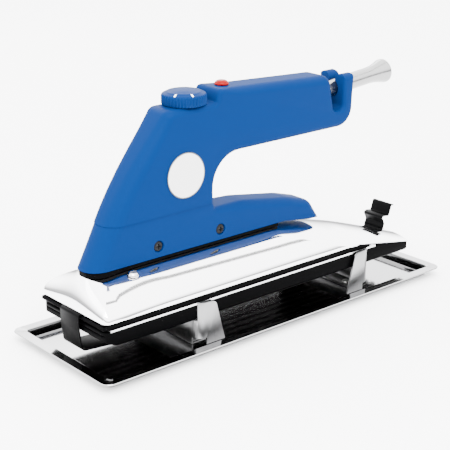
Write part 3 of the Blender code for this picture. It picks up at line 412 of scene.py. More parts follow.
def finish(name, colour, roughness, metallic=0.0, mottle=0.05, broad=28.0, grain=1400.0,
           spread=0.05, bump=0.0, depth=0.02, stretch=(1.0, 1.0, 1.0), coat=0.0,
           coat_roughness=0.2, specular=0.5, transmission=0.0):
    """A procedural finish: slow colour drift, fine roughness grain and a fine relief."""
    made = bpy.data.materials.new(name)
    made.use_nodes = True
    tree = made.node_tree
    shader = tree.nodes["Principled BSDF"]
    shader.inputs["Base Color"].default_value = (*colour, 1.0)
    shader.inputs["Roughness"].default_value = roughness
    shader.inputs["Metallic"].default_value = metallic
    shader.inputs["Coat Weight"].default_value = coat
    shader.inputs["Coat Roughness"].default_value = coat_roughness
    shader.inputs["Specular IOR Level"].default_value = specular
    shader.inputs["Transmission Weight"].default_value = transmission
    place = tree.nodes.new("ShaderNodeTexCoord")
    scaled = tree.nodes.new("ShaderNodeMapping")
    scaled.inputs["Scale"].default_value = stretch
    tree.links.new(place.outputs["Object"], scaled.inputs["Vector"])
    slow = tree.nodes.new("ShaderNodeTexNoise")
    slow.inputs["Scale"].default_value = broad
    slow.inputs["Detail"].default_value = 4.0
    tree.links.new(place.outputs["Object"], slow.inputs["Vector"])
    tint = tree.nodes.new("ShaderNodeMix")
    tint.data_type = "RGBA"
    tint.inputs[6].default_value = (*[c * (1.0 - mottle) for c in colour], 1.0)
    tint.inputs[7].default_value = (*[min(1.0, c * (1.0 + mottle)) for c in colour], 1.0)
    tree.links.new(slow.outputs["Fac"], tint.inputs["Factor"])
    tree.links.new(tint.outputs[2], shader.inputs["Base Color"])
    fine = tree.nodes.new("ShaderNodeTexNoise")
    fine.inputs["Scale"].default_value = grain
    fine.inputs["Detail"].default_value = 3.0
    tree.links.new(scaled.outputs["Vector"], fine.inputs["Vector"])
    sheen = tree.nodes.new("ShaderNodeMapRange")
    sheen.inputs["To Min"].default_value = max(0.02, roughness - spread)
    sheen.inputs["To Max"].default_value = roughness + spread
    tree.links.new(fine.outputs["Fac"], sheen.inputs["Value"])
    tree.links.new(sheen.outputs["Result"], shader.inputs["Roughness"])
    if bump:
        relief = tree.nodes.new("ShaderNodeBump")
        relief.inputs["Strength"].default_value = bump
        relief.inputs["Distance"].default_value = depth * MM
        tree.links.new(fine.outputs["Fac"], relief.inputs["Height"])
        tree.links.new(relief.outputs["Normal"], shader.inputs["Normal"])
    return made


ALONG = (0.02, 1.0, 1.0)

LOOKS = {
    "tray_steel": finish("tray_steel", (0.26, 0.26, 0.262), 0.10, 1.0, 0.03, 14.0, 2600.0,
                         0.03, 0.05, 0.01, ALONG),
    "plate_steel": finish("plate_steel", (0.60, 0.60, 0.61), 0.16, 1.0, 0.03, 30.0, 2600.0,
                          0.05, 0.06, 0.01, ALONG),
    "bracket_steel": finish("bracket_steel", (0.24, 0.24, 0.243), 0.30, 1.0, 0.05, 40.0, 2600.0,
                            0.07, 0.15, 0.02, (1.0, 1.0, 0.03)),
    "zinc_steel": finish("zinc_steel", (0.62, 0.62, 0.60), 0.34, 1.0, 0.10, 160.0, 1500.0,
                         0.08, 0.15, 0.02),
    "cover_chrome": finish("cover_chrome", (0.88, 0.88, 0.89), 0.06, 1.0, 0.01, 12.0, 60.0,
                           0.015),
    "screw_chrome": finish("screw_chrome", (0.50, 0.50, 0.51), 0.12, 1.0, 0.02, 60.0, 900.0,
                           0.04, 0.05, 0.01),
    "nonstick_coating": finish("nonstick_coating", (0.0005, 0.0005, 0.0006), 0.45, 0.0, 0.15, 60.0,
                               1700.0, 0.08, 0.35, 0.04, specular=0.012),
    "black_strip": finish("black_strip", (0.0006, 0.0006, 0.0007), 0.34, 0.0, 0.15, 90.0, 1200.0,
                          0.08, 0.2, 0.02, specular=0.02),
    "black_screw": finish("black_screw", (0.002, 0.002, 0.0025), 0.40, 0.0, 0.15, 200.0, 1500.0,
                          0.08, 0.2, 0.02, specular=0.08),
    "black_seal": finish("black_seal", (0.0005, 0.0005, 0.0006), 0.50, 0.0, 0.15, 70.0, 1100.0,
                         0.08, 0.25, 0.03, specular=0.012),
    "phenolic": finish("phenolic", (0.005, 0.005, 0.006), 0.45, 0.0, 0.2, 120.0, 1300.0,
                       0.08, 0.2, 0.02, specular=0.1),
    "ceramic_fibre": finish("ceramic_fibre", (0.78, 0.75, 0.68), 0.90, 0.0, 0.12, 200.0, 900.0,
                            0.05, 0.8, 0.25, specular=0.2),
    "handle_blue": finish("handle_blue", (0.0, 0.0110, 0.056), 0.50, 0.0, 0.04, 22.0, 2300.0,
                          0.05, 0.18, 0.02, specular=0.018),
    "dial_blue": finish("dial_blue", (0.0, 0.0115, 0.058), 0.42, 0.0, 0.04, 60.0, 2300.0,
                        0.05, 0.12, 0.02, specular=0.025),
    "lamp_red": finish("lamp_red", (0.14, 0.0006, 0.0006), 0.25, 0.0, 0.08, 300.0, 700.0, 0.03,
                       0.05, 0.02, specular=0.05),
    "lamp_glass": finish("lamp_glass", (0.85, 0.60, 0.45), 0.05, 0.0, 0.05, 300.0, 900.0, 0.02,
                         transmission=0.8),
    "guard_steel": finish("guard_steel", (0.24, 0.24, 0.24), 0.22, 1.0, 0.03, 40.0, 2200.0,
                          0.06, 0.12, 0.02, ALONG),
    "label_white": finish("label_white", (0.55, 0.55, 0.55), 0.30, 0.0, 0.02, 60.0, 1900.0,
                          0.04, 0.04, 0.01, coat=0.3, coat_roughness=0.12),
    "terminal_white": finish("terminal_white", (0.75, 0.73, 0.68), 0.45, 0.0, 0.05, 90.0,
                             1500.0, 0.05, 0.1, 0.02),
    "copper": finish("copper", (0.72, 0.38, 0.22), 0.25, 1.0, 0.12, 90.0, 1300.0, 0.08, 0.1, 0.02),
    "brass": finish("brass", (0.75, 0.56, 0.26), 0.25, 1.0, 0.08, 90.0, 1300.0, 0.08, 0.1, 0.02),
    "element_steel": finish("element_steel", (0.30, 0.28, 0.26), 0.42, 1.0, 0.2, 70.0, 1300.0,
                            0.1, 0.2, 0.02),
    "sheath_brown": finish("sheath_brown", (0.16, 0.06, 0.025), 0.45, 0.0, 0.1, 90.0, 1500.0,
                           0.06, 0.1, 0.02),
    "sheath_blue": finish("sheath_blue", (0.02, 0.09, 0.40), 0.45, 0.0, 0.1, 90.0, 1500.0,
                          0.06, 0.1, 0.02),
    "sheath_green": finish("sheath_green", (0.08, 0.35, 0.06), 0.45, 0.0, 0.1, 90.0, 1500.0,
                           0.06, 0.1, 0.02),
}
# Light grey for two streaks on the dial's top that are painted highlights, standing in for glints
# of the key light
DIAL_HIGHLIGHT_PAINT = finish("dial_painted_highlight", (0.80, 0.82, 0.84), 0.40, 0.0, 0.03, 300.0, 1500.0, 0.04, 0.05, 0.01)
EDGE_INK = finish("label_edge", (0.02, 0.025, 0.035), 0.35, 0.0, 0.05, 300.0, 1500.0, 0.04,
                  0.05, 0.01)


# Finer pieces ---------------------------------------------------------------

def raw_object(name, built, degrees):
    bmesh.ops.recalc_face_normals(built, faces=built.faces[:])
    bmesh.ops.scale(built, vec=(MM, MM, MM), verts=built.verts[:])
    mesh = bpy.data.meshes.new(name)
    built.to_mesh(mesh)
    built.free()
    made = bpy.data.objects.new(name, mesh)
    bpy.context.scene.collection.objects.link(made)
    mesh.shade_smooth()
    mesh.set_sharp_from_angle(angle=math.radians(degrees))
    return made


def make_object(node, built, degrees=30.0):
    """A finer mesh that will stand for the CAD node of that name."""
    made = raw_object("fine_" + node, built, degrees)
    made.data.materials.append(LOOKS[SLOT_OF[node]])
    pieces[node] = made
    return made


def combine(target, operation, *tools, solver="EXACT"):
    for built in tools:
        step = target.modifiers.new("step_%d" % len(target.modifiers), "BOOLEAN")
        step.operation = operation
        step.solver = solver
        step.object = raw_object("tool", built, 30.0)


def cut(target, *tools):
    combine(target, "DIFFERENCE", *tools)


def bake(made):
    """Turn an object's modifiers into its mesh and remove the cutters."""
    tools = [step.object for step in made.modifiers if step.type == "BOOLEAN"]
    view = bpy.context.evaluated_depsgraph_get()
    done = bpy.data.meshes.new_from_object(made.evaluated_get(view), depsgraph=view)
    made.modifiers.clear()
    made.data = done
    for tool in tools:
        bpy.data.objects.remove(tool, do_unlink=True)
    done.shade_smooth()
    done.set_sharp_from_angle(angle=math.radians(32.0))
    return made


def soften(made, width, degrees=35.0, segments=2):
    """Round the sharp edges of a baked mesh a little, as moulded or pressed edges are."""
    step = made.modifiers.new("soft_edges", "BEVEL")
    step.width = width * MM
    step.segments = segments
    step.limit_method = "ANGLE"
    step.angle_limit = math.radians(degrees)
    step.use_clamp_overlap = True
    step.miter_outer = "MITER_ARC"
    made.modifiers.new("even_shading", "WEIGHTED_NORMAL").keep_sharp = True
    return bake(made)


def make_tray():
    wall_foot = TRAY_FLANGE + 1.4
    outward = 0.8 * TRAY_SHEET
    rings = [
        rounded_rectangle(wall_foot + 0.6 - outward, 0.0, 12),
        rounded_rectangle(wall_foot - outward, 0.5, 12),
        rounded_rectangle(TRAY_FLANGE - outward, TRAY_HEIGHT - TRAY_SHEET, 12),
        rounded_rectangle(0.25, TRAY_HEIGHT - TRAY_SHEET, 12),
        rounded_rectangle(0.0, TRAY_HEIGHT - TRAY_SHEET + 0.25, 12),
        rounded_rectangle(0.0, TRAY_HEIGHT - 0.3, 12),
        rounded_rectangle(0.3, TRAY_HEIGHT, 12),
        rounded_rectangle(TRAY_FLANGE - 0.5, TRAY_HEIGHT, 12),
        rounded_rectangle(TRAY_FLANGE, TRAY_HEIGHT - 0.35, 12),
        rounded_rectangle(wall_foot - 0.1, TRAY_SHEET + 0.6, 12),
        rounded_rectangle(wall_foot + 0.5, TRAY_SHEET, 12),
    ]
    tray = make_object("rest_tray", loft(rings), 40.0)
    for x in (FRONT_WEB_X + RIVET_FROM_WEB, REAR_WEB_X - RIVET_FROM_WEB):
        for y in (-RIVET_Y, RIVET_Y):
            cut(tray, rod(2.0, -1.0, 3.0, (x, y), 24))
    bake(tray)


def bracket_plan(web_x, inward):
    """Plan of the bent sheet: an ear, a bend, the web, a bend and an ear."""
    end_x = web_x + inward * (EAR_FOOT_LENGTH + 1.0)
    inner_x = web_x + inward * BRACKET_SHEET
    inner_y = EAR_Y - BRACKET_SHEET
    inner_bend = BRACKET_BEND - BRACKET_SHEET
    return rounded_outline(
        [
            (end_x, -EAR_Y, 0.0),
            (web_x, -EAR_Y, BRACKET_BEND),
            (web_x, EAR_Y, BRACKET_BEND),
            (end_x, EAR_Y, 0.0),
            (end_x, inner_y, 0.0),
            (inner_x, inner_y, inner_bend),
            (inner_x, -inner_y, inner_bend),
            (end_x, -inner_y, 0.0),
        ],
        14,
    )


def sorted_box(first, second):
    lows = [min(a, b) for a, b in zip(first, second)]
    highs = [max(a, b) for a, b in zip(first, second)]
    return box(lows, highs)


def make_bracket(name, web_x, inward):
    """inward is +1 when the ears run towards +X, -1 when they run towards -X."""
    foot = TRAY_SHEET + GAP
    sheet = prism(bracket_plan(web_x, inward), foot, EAR_TOP + 2.0, "Z")
    bracket = make_object(name, sheet)
    ear = [
        (web_x - inward, foot - 1.0, 0.0),
        (web_x - inward, EAR_TOP, 0.0),
        (web_x + inward * EAR_TOP_LENGTH, EAR_TOP - 1.4, 4.0),
        (web_x + inward * EAR_FOOT_LENGTH, foot - 1.0, 0.0),
    ]
    combine(bracket, "INTERSECT", prism(rounded_outline(ear, 12), -EAR_Y - 2.0, EAR_Y + 2.0))
    cut(
        bracket,
        sorted_box(
            (web_x - inward * 2.0, -EAR_CLEAR_Y, WEB_TOP),
            (web_x + inward * 12.0, EAR_CLEAR_Y, EAR_TOP + 4.0),
        ),
    )
    flange_y = EAR_Y - BRACKET_BEND - 3.0
    flange = sorted_box(
        (web_x + inward * 0.5, -flange_y, foot),
        (web_x + inward * 15.0, flange_y, foot + BRACKET_SHEET),
    )
    combine(bracket, "UNION", flange)
    for side in (-1, 1):
        notch = sorted_box(
            (web_x - inward * 2.0, side * (EAR_Y - BRACKET_BEND), foot - 1.0),
            (web_x + inward * (BRACKET_BEND + 1.0), side * (EAR_Y + 2.0), foot + 5.0),
        )
        x = web_x + inward * RIVET_FROM_WEB
        hole = rod(2.0, foot - 1.0, foot + 3.0, (x, side * RIVET_Y), 24)
        cut(bracket, notch, hole)
        head = foot + BRACKET_SHEET + GAP
        profile = [(1.7, GAP), (1.7, head), (3.1, head), (3.2, head + 0.15)]
        for step in range(1, 8):
            angle = math.radians(84.0 * step / 7.0)
            profile.append((3.2 * math.cos(angle), head + 0.15 + 1.2 * math.sin(angle)))
        rivet = turned(profile, 36)
        place = "near" if side < 0 else "far"
        rivet = moved(rivet, (x, side * RIVET_Y, 0.0))
        make_object("%s_rivet_%s" % (name, place), rivet)
    soften(bake(bracket), 0.25)


def make_chamfer(side):
    """Wedge that trims one long bottom edge of the sole plate."""
    corner = [
        (side * (SOLE_Y - 1.7), SOLE_BOTTOM - 1.0),
        (side * (SOLE_Y + 1.5), SOLE_BOTTOM - 1.0),
        (side * (SOLE_Y + 1.5), SOLE_BOTTOM + 2.6),
        (side * SOLE_Y, SOLE_BOTTOM + 1.7),
        (side * (SOLE_Y - 1.7), SOLE_BOTTOM),
    ]
    return prism(corner, NOSE_X - 5.0, TAIL_X + 5.0, "X")


def make_sole():
    front = [
        (NOSE_X + 12.0, SOLE_BOTTOM),
        (NOSE_X + 0.3, 25.4),
        (NOSE_X, 26.0),
        (NOSE_X, 28.6),
        (NOSE_X + 1.6, 29.2),
        (NOSE_X, 29.9),
        (NOSE_X, 31.4),
        (NOSE_X + 0.6, SOLE_TOP),
    ]
    tail = [
        (TAIL_STEP_X, SOLE_TOP),
        (TAIL_STEP_X, rim_z_at(TAIL_STEP_X) - 0.6),
        (TAIL_X, rim_z_at(TAIL_X) - 0.6),
        (TAIL_X, SOLE_BOTTOM),
    ]
    outline = front + tail
    sole = make_object("sole_plate", prism(outline, -SOLE_Y, SOLE_Y))
    trims = []
    for side in (-1, 1):
        corner = [
            (NOSE_X - 2.0, side * (SOLE_Y + 2.0)),
            (NOSE_X + 5.0, side * (SOLE_Y + 2.0)),
            (NOSE_X + 5.0, side * SOLE_Y),
            (NOSE_X + 1.5, side * (SOLE_Y - 1.5)),
            (NOSE_X, side * (SOLE_Y - 5.0)),
            (NOSE_X - 2.0, side * (SOLE_Y - 5.0)),
        ]
        trims.append(prism(corner, SOLE_BOTTOM - 3.0, SOLE_TOP + 3.0, "Z"))
    for number in range(-4, 5):
        y = number * GROOVE_PITCH
        groove = [(y + 1.9, SOLE_BOTTOM - 1.0)]
        for step in range(9):
            angle = math.pi * step / 8.0
            reach = (1.75 * math.cos(angle), (GROOVE_DEPTH - 0.2) * math.sin(angle))
            groove.append((y + reach[0], SOLE_BOTTOM + 0.2 + reach[1]))
        groove.append((y - 1.9, SOLE_BOTTOM - 1.0))
        trims.append(prism(groove, NOSE_X - 5.0, TAIL_X + 5.0, "X"))
    trims += [make_chamfer(-1), make_chamfer(1)]
    trims.append(box((-136.0, -31.0, 25.5), (84.0, 31.0, SOLE_TOP + 5.0)))
    cut(sole, *trims)
    soften(bake(sole), 0.3)


def lobe_cutter():
    """Everything above the rear wall's two round lobes, and the slot between them."""
    lobe_y, lobe_z, lobe_radius, slot_y = 8.4, 161.3, 5.4, 3.0
    arc = []
    for step in range(25):
        angle = math.pi * step / 24
        arc.append((lobe_y + lobe_radius * math.cos(angle), lobe_z + lobe_radius * math.sin(angle)))
    half = [(16.0, 175.0), (16.0, lobe_z)] + arc + [(slot_y, 155.0)]
    outline = half + [(-y, z) for y, z in reversed(half)]
    return prism(outline, 88.0, 106.0, "X")


def make_handle_body():
    bottom = SEAM_Z + GAP
    outer = [
        (slanted_x(bottom), bottom, 0.0, 0.0, NOSE_ROUND),
        *[(slanted_x(z), z, 0.0, edge, edge) for z, edge in FRONT_EDGE],
        (slanted_x(PLATFORM_Z), PLATFORM_Z, 9.0, 8.0, 5.0),
        (-33.5, PLATFORM_Z, 2.0, 4.0, 3.0),
        (-30.5, 173.6, 3.8, 3.0, 3.4),
        (-12.0, 172.7, 0.0, 7.0, 7.0),
        (79.5, 168.2, 8.0, 7.0, 6.0),
        (82.5, 139.5, 4.5, 3.0, 3.0),
        (93.0, 139.5, 4.5, 3.0, 3.0),
        (93.0, 167.5, 3.2, 2.4, 2.4),
        (103.8, 167.5, 3.8, 2.4, 2.8),
        (104.2, GRIP_BOTTOM, 15.0, 5.0, 4.0),
        (NECK_BACK_X, GRIP_BOTTOM, 24.0, 4.0, 4.0),
        (NECK_BACK_X, bottom, 0.0, 4.0, 0.0),
    ]
    body = make_object("handle_body", rounded_slab(outer, GRIP_Y, 12, 8))
    inner = [
        (slanted_x(SEAM_Z - 6.0) + 9.0, SEAM_Z - 6.0, 0.0),
        (slanted_x(PLATFORM_Z) + 7.0, PLATFORM_Z - 2.8, 6.0),
        (-31.0, PLATFORM_Z - 2.8, 0.0),
        (-27.5, 170.0, 1.0),
        (73.5, 165.0, 4.0),
        (76.4, GRIP_BOTTOM + 3.0, 3.0),
        (NECK_BACK_X - 3.0, GRIP_BOTTOM + 3.0, 24.0),
        (NECK_BACK_X - 3.0, SEAM_Z - 6.0, 0.0),
    ]
    inner_y = GRIP_Y - HANDLE_WALL
    cut(
        body,
        prism(rounded_outline(inner, 3), -inner_y, inner_y),
        rod(5.3, PLATFORM_Z - 6.0, PLATFORM_Z + 3.0, (DIAL_X, 0.0)),
        rod(4.5, 165.0, 178.0, (LAMP_X, 0.0)),
        along_guard(rod(GUARD_RADIUS + GAP, 4.0, 48.0)),
    )
    # EXACT leaves nothing of the body after this one cut
    combine(body, "DIFFERENCE", lobe_cutter(), solver="MANIFOLD")
    bake(body)


def make_handle_skirt():
    outer = [
        (slanted_x(HANDLE_BOTTOM), HANDLE_BOTTOM, 0.0, 0.0, NOSE_ROUND),
        (slanted_x(77.0), 77.0, 0.0, NOSE_ROUND, NOSE_ROUND),
        (slanted_x(SEAM_Z), SEAM_Z, 0.0, NOSE_ROUND, 0.0),
        (NECK_BACK_X, SEAM_Z, 0.0, 0.0, 3.0),
        (NECK_BACK_X + 1.5, 88.0, 2.0, 3.0, 5.0),
        (-6.0, 87.2, 60.0, 7.0, 7.0),
        (40.0, 79.6, 60.0, 7.0, 7.0),
        (62.5, 73.1, 13.0, 7.0, 7.0),
        (72.2, 57.4, 0.0, 6.0, 1.5),
        (60.0, 58.6, 0.0, 1.5, 1.5),
        (29.0, HANDLE_BOTTOM, 0.0, 1.5, 0.0),
    ]
    skirt = make_object("handle_skirt", rounded_slab(outer, SKIRT_Y, 12, 8))
    inner = [
        (slanted_x(HANDLE_BOTTOM) + 12.0, HANDLE_BOTTOM - 4.0, 0.0),
        (slanted_x(SEAM_Z) + 10.5, SEAM_Z + 5.0, 0.0),
        (NECK_BACK_X - 3.0, SEAM_Z + 5.0, 0.0),
        (NECK_BACK_X - 3.0, 84.0, 2.0),
        (4.0, 82.6, 30.0),
        (57.0, 71.0, 5.0),
        (54.0, 63.0, 1.0),
        (26.5, 66.4, 0.0),
        (26.5, HANDLE_BOTTOM - 4.0, 0.0),
    ]
    inner_y = SKIRT_Y - HANDLE_WALL
    tools = [prism(rounded_outline(inner, 3), -inner_y, inner_y)]
    for x in SIDE_SCREW_X:
        for side in (-1, 1):
            through = turned([(1.9, 8.0), (1.9, 11.6), (4.3, 11.6), (4.3, 15.0)], 48)
            turn = Matrix.Rotation(math.radians(-90 * side), 3, "X")
            tools.append(moved(through, (x, 0.0, SIDE_SCREW_Z), turn))
    cut(skirt, *tools)
    bake(skirt)


def cover_stations():
    """Each station: middle x, crease x, rim half width, crease y, crease z, ridge z, rim z."""
    stations = []
    for step in range(21):
        share = (step / 20.0) ** 1.7
        middle = LIP_X + (TOP_FRONT_MIDDLE_X - LIP_X) * share
        crease_x = LIP_X + (TOP_FRONT_EDGE_X - LIP_X) * share
        turn = min(1.0, (crease_x - LIP_X) / 5.0)
        rim_y = RIM_Y - 5.0 * (1.0 - math.sqrt(1.0 - (1.0 - turn) ** 2))
        crease_y = rim_y - (rim_y - CREASE_FRONT_Y) * share
        crease_z = RIM_Z + (CREASE_Z - RIM_Z) * rise(share)
        ridge_z = RIM_Z + (CREASE_Z + NOSE_CROWN - RIM_Z) * rise(share)
        stations.append((middle, crease_x, rim_y, crease_y, crease_z, ridge_z, RIM_Z))
    for step in range(1, 15):
        share = step / 14.0
        middle = TOP_FRONT_MIDDLE_X + (CROWN_FULL_X - TOP_FRONT_MIDDLE_X) * share
        crease_x = TOP_FRONT_EDGE_X + (CROWN_FULL_X - TOP_FRONT_EDGE_X) * share
        ease = 1.0 - (1.0 - share) ** 2
        crease_y = CREASE_FRONT_Y + (CREASE_Y - CREASE_FRONT_Y) * ease
        ridge_z = CREASE_Z + NOSE_CROWN + (RIDGE_Z - CREASE_Z - NOSE_CROWN) * ease
        stations.append((middle, crease_x, RIM_Y, crease_y, CREASE_Z, ridge_z, RIM_Z))
    for step in range(1, 34):
        x = CROWN_FULL_X + (KINK_X - 2.0 - CROWN_FULL_X) * step / 33.0
        y, z = crease_at(x)
        stations.append((x, x, RIM_Y, y, z, ridge_z_at(x), RIM_Z))
    for step in range(1, 17):
        x = KINK_X - 2.0 + (COVER_END_X - KINK_X + 2.0) * step / 16.0
        rim_z = rim_z_at(x)
        y, z = crease_at(x) if x < KINK_X else (RIM_Y - 0.6, rim_z + 0.7)
        stations.append((x, x, RIM_Y, y, z, ridge_z_at(x), rim_z))
    return stations


def cover_section(station):
    middle, crease_x, rim_y, crease_y, crease_z, ridge_z, rim_z = station
    flatness = 2.0
    if crease_x > KINK_X:
        flatness += 1.5 * (crease_x - KINK_X) / (COVER_END_X - KINK_X)
    points = []
    for step in range(14):
        share = (step / 14.0) ** 1.5
        y = rim_y - (rim_y - crease_y) * share
        points.append((crease_x, y, rim_z + (crease_z - rim_z) * rise(share)))
    for step in range(14, 0, -1):
        share = step / 14.0
        x = middle + (crease_x - middle) * share**2
        z = ridge_z + (crease_z - ridge_z) * share**flatness
        points.append((x, crease_y * share, z))
    half = points + [(middle, 0.0, ridge_z)]
    return half + [(x, -y, z) for x, y, z in reversed(points)]


def make_cover():
    built = bmesh.new()
    rows = [[built.verts.new(p) for p in cover_section(s)] for s in cover_stations()]
    for first, second in zip(rows, rows[1:]):
        for index in range(len(first) - 1):
            built.faces.new((first[index], second[index], second[index + 1], first[index + 1]))
    bmesh.ops.recalc_face_normals(built, faces=built.faces[:])
    if sum(face.normal.z for face in built.faces) < 0.0:
        bmesh.ops.reverse_faces(built, faces=built.faces[:])
    bmesh.ops.scale(built, vec=(MM, MM, MM), verts=built.verts[:])
    mesh = bpy.data.meshes.new("fine_cover")
    built.to_mesh(mesh)
    built.free()
    cover = bpy.data.objects.new("fine_cover", mesh)
    bpy.context.scene.collection.objects.link(cover)
    mesh.materials.append(LOOKS["cover_chrome"])
    crease = cover.modifiers.new("crease", "BEVEL")
    crease.width = 1.3 * MM
    crease.segments = 4
    crease.angle_limit = math.radians(14.0)
    shell = cover.modifiers.new("sheet", "SOLIDIFY")
    shell.thickness = COVER_SHEET * MM
    shell.offset = -1.0
    pieces["cover"] = cover
    slot = box(
        (CLIP_X - 1.3, CLIP_Y - CLIP_WIDTH / 2.0 - 1.5, 30.5),
        (CLIP_X + 1.3, CLIP_Y + CLIP_WIDTH / 2.0 + 1.5, 40.0),
    )
    cut(cover, slot)
    bake(cover)


def make_gasket():
    half = SKIRT_Y - 0.8
    rings = []
    levels = [-141.0 + 14.0 * (1.0 - math.cos(math.pi * k / 24.0)) for k in range(13)]
    levels += [-118.0, -105.0, -90.0, -60.0, -30.0, 0.0, 20.0, 27.5]
    for x in levels:
        reach = min(1.0, (x - NOSE_FOOT_X - 0.9) / (NOSE_ROUND + 2.0))
        width = half * math.sqrt(1.0 - (1.0 - reach) ** 2)
        ring = []
        for share in (-1.0, -0.75, -0.5, -0.25, 0.0, 0.25, 0.5, 0.75, 1.0):
            y = width * share
            ring.append((x, y, min(crown_z(x, y) + 0.5, HANDLE_BOTTOM - 1.0)))
        top = HANDLE_BOTTOM - GAP
        ring += [(x, width, top - 0.3), (x, width - 0.3, top)]
        ring += [(x, -width + 0.3, top), (x, -width, top - 0.3)]
        rings.append(ring)
    make_object("handle_gasket", loft(rings))


def dial_ring(radius, level, rib):
    ring = []
    steps = DIAL_RIBS * 6
    for step in range(steps):
        angle = 2.0 * math.pi * step / steps
        wave = 0.5 - 0.5 * math.cos(2.0 * math.pi * step / 6.0)
        reach = radius - rib * wave**0.7
        ring.append((DIAL_X + reach * math.cos(angle), reach * math.sin(angle), level))
    return ring


def add_islands(target, built, look):
    """Join closed extra islands with their own finish into a piece."""
    extra = raw_object("extra", built, 40.0)
    added = bmesh.new()
    added.from_mesh(target.data)
    before = len(added.faces)
    added.from_mesh(extra.data)
    added.faces.ensure_lookup_table()
    target.data.materials.append(look)
    index = len(target.data.materials) - 1
    for face in added.faces[before:]:
        face.material_index = index
    added.to_mesh(target.data)
    added.free()
    bpy.data.objects.remove(extra, do_unlink=True)


def make_dial():
    low = PLATFORM_Z + GAP
    profile = [
        (0.9, 0.0, 0.3), (0.2, 0.35, 0.6), (0.0, 0.9, 0.75), (0.0, 5.9, 0.75), (0.15, 6.6, 0.6),
        (0.55, 7.2, 0.3), (0.95, 7.5, 0.0), (2.3, 8.1, 0.0), (3.6, 8.7, 0.0), (3.9, 8.95, 0.0),
        (4.6, 9.05, 0.0), (7.0, 9.7, 0.0), (10.0, 10.2, 0.0), (13.0, 10.5, 0.0), (15.0, 10.6, 0.0),
    ]
    rings = [dial_ring(DIAL_RADIUS - inset, low + level, rib) for inset, level, rib in profile]
    dial = make_object("thermostat_dial", loft(rings), 40.0)
    cut(dial, rod(3.3, low - 2.0, low + 6.0, (DIAL_X, 0.0), 40))
    bake(dial)
    # Two light grey streaks on the dial's sloping top: painted highlights where the domed top
    # catches the light, not real marks
    for degrees in (206.0, 256.0):
        highlight_mark = box((12.4, -0.55, 7.9), (15.3, 0.55, 8.9))
        bmesh.ops.rotate(
            highlight_mark, cent=(12.4, 0, 8.9), matrix=Matrix.Rotation(math.radians(22), 3, "Y"),
            verts=highlight_mark.verts[:],
        )
        turn = Matrix.Rotation(math.radians(degrees), 3, "Z")
        moved(highlight_mark, (0, 0, 0), turn)
        add_islands(dial, moved(highlight_mark, (DIAL_X, 0.0, low + 0.05)), DIAL_HIGHLIGHT_PAINT)


def make_lamp():
    seat = 173.6
    profile = [(4.2, 164.0), (4.2, seat), (5.1, seat), (5.3, seat + 0.2), (5.3, seat + 0.7)]
    for step in range(1, 10):
        angle = math.radians(80.0 * step / 9.0)
        profile.append((1.0 + 3.9 * math.cos(angle), seat + 0.7 + 2.4 * math.sin(angle)))
    lens = moved(turned(profile, 72), (LAMP_X, 0.0, 0.0))
    made = make_object("pilot_lamp_lens", lens, 40.0)
    cut(made, rod(3.0, 162.0, seat + 1.0, (LAMP_X, 0.0), 32))
    bake(made)


def make_cord_guard():
    end = GUARD_LENGTH
    outer = [
        (8.2, 0.0),
        (8.2, 3.0),
        (GUARD_RADIUS, 3.0),
        (GUARD_RADIUS, end - 19.0),
        (GUARD_RADIUS + 0.5, end - 13.0),
        (GUARD_RADIUS + 1.5, end - 8.0),
        (GUARD_RADIUS + 2.9, end - 3.0),
        (GUARD_RADIUS + 3.0, end - 1.0),
        (GUARD_RADIUS + 2.4, end),
    ]
    inner = [
        (GUARD_RADIUS + 1.4, end - 0.4),
        (GUARD_RADIUS - 0.4, end - 8.0),
        (GUARD_RADIUS - 1.6, end - 17.0),
        (GUARD_RADIUS - 1.8, 0.0),
    ]
    tube = along_guard(turned_tube(outer + inner, 88))
    soften(make_object("cord_guard", tube, 30.0), 0.35, 25.0, 3)


def make_side_screws():
    for number, x in enumerate(SIDE_SCREW_X, 1):
        for side, place in ((-1, "near"), (1, "far")):
            profile = [
                (1.5, 6.6),
                (1.5, 11.6 + GAP),
                (3.6, 11.6 + GAP),
                (3.6, 12.2),
                (2.6, 12.8),
            ]
            screw = turned(profile, 48)
            turn = Matrix.Rotation(math.radians(-90 * side), 3, "X")
            moved(screw, (x, 0.0, SIDE_SCREW_Z), turn)
            made = make_object("side_screw_%s_%d" % (place, number), screw)
            cross = []
            for long_way in (True, False):
                a, b = (1.9, 0.45) if long_way else (0.45, 1.9)
                low_y, high_y = sorted((side * 11.9, side * 14.0))
                cross.append(
                    box(
                        (x - a, low_y, SIDE_SCREW_Z - b),
                        (x + a, high_y, SIDE_SCREW_Z + b),
                    )
                )
            cut(made, *cross)
            soften(bake(made), 0.12)


def make_cover_screws():
    seat = 0.45
    for side, place in ((-1, "near"), (1, "far")):
        profile = [
            (1.6, -9.0),
            (1.6, seat),
            (4.0, seat),
            (3.8, seat + 0.9),
            (2.9, seat + 1.9),
            (1.5, seat + 2.5),
        ]
        screw = at_cover_screw(turned(profile, 48), side)
        made = make_object("cover_screw_" + place, screw)
        slot = box((-2.6, -0.4, seat + 1.5), (2.6, 0.4, seat + 4.0))
        cut(made, at_cover_screw(slot, side))
        soften(bake(made), 0.12)


def make_strap():
    path = bent_path(
        [
            (-138.0, 37.4, 0.0),
            (-152.6, 37.4, 1.6),
            (-152.6, 26.0, 8.0),
            (-150.8, 11.0, 4.0),
            (-118.0, 8.2, 0.0),
        ],
        10,
    )
    outline = strip(path, 1.1)
    strap = make_object("front_strap", prism(outline, -STRAP_WIDTH / 2.0, STRAP_WIDTH / 2.0))
    soften(strap, 0.2)


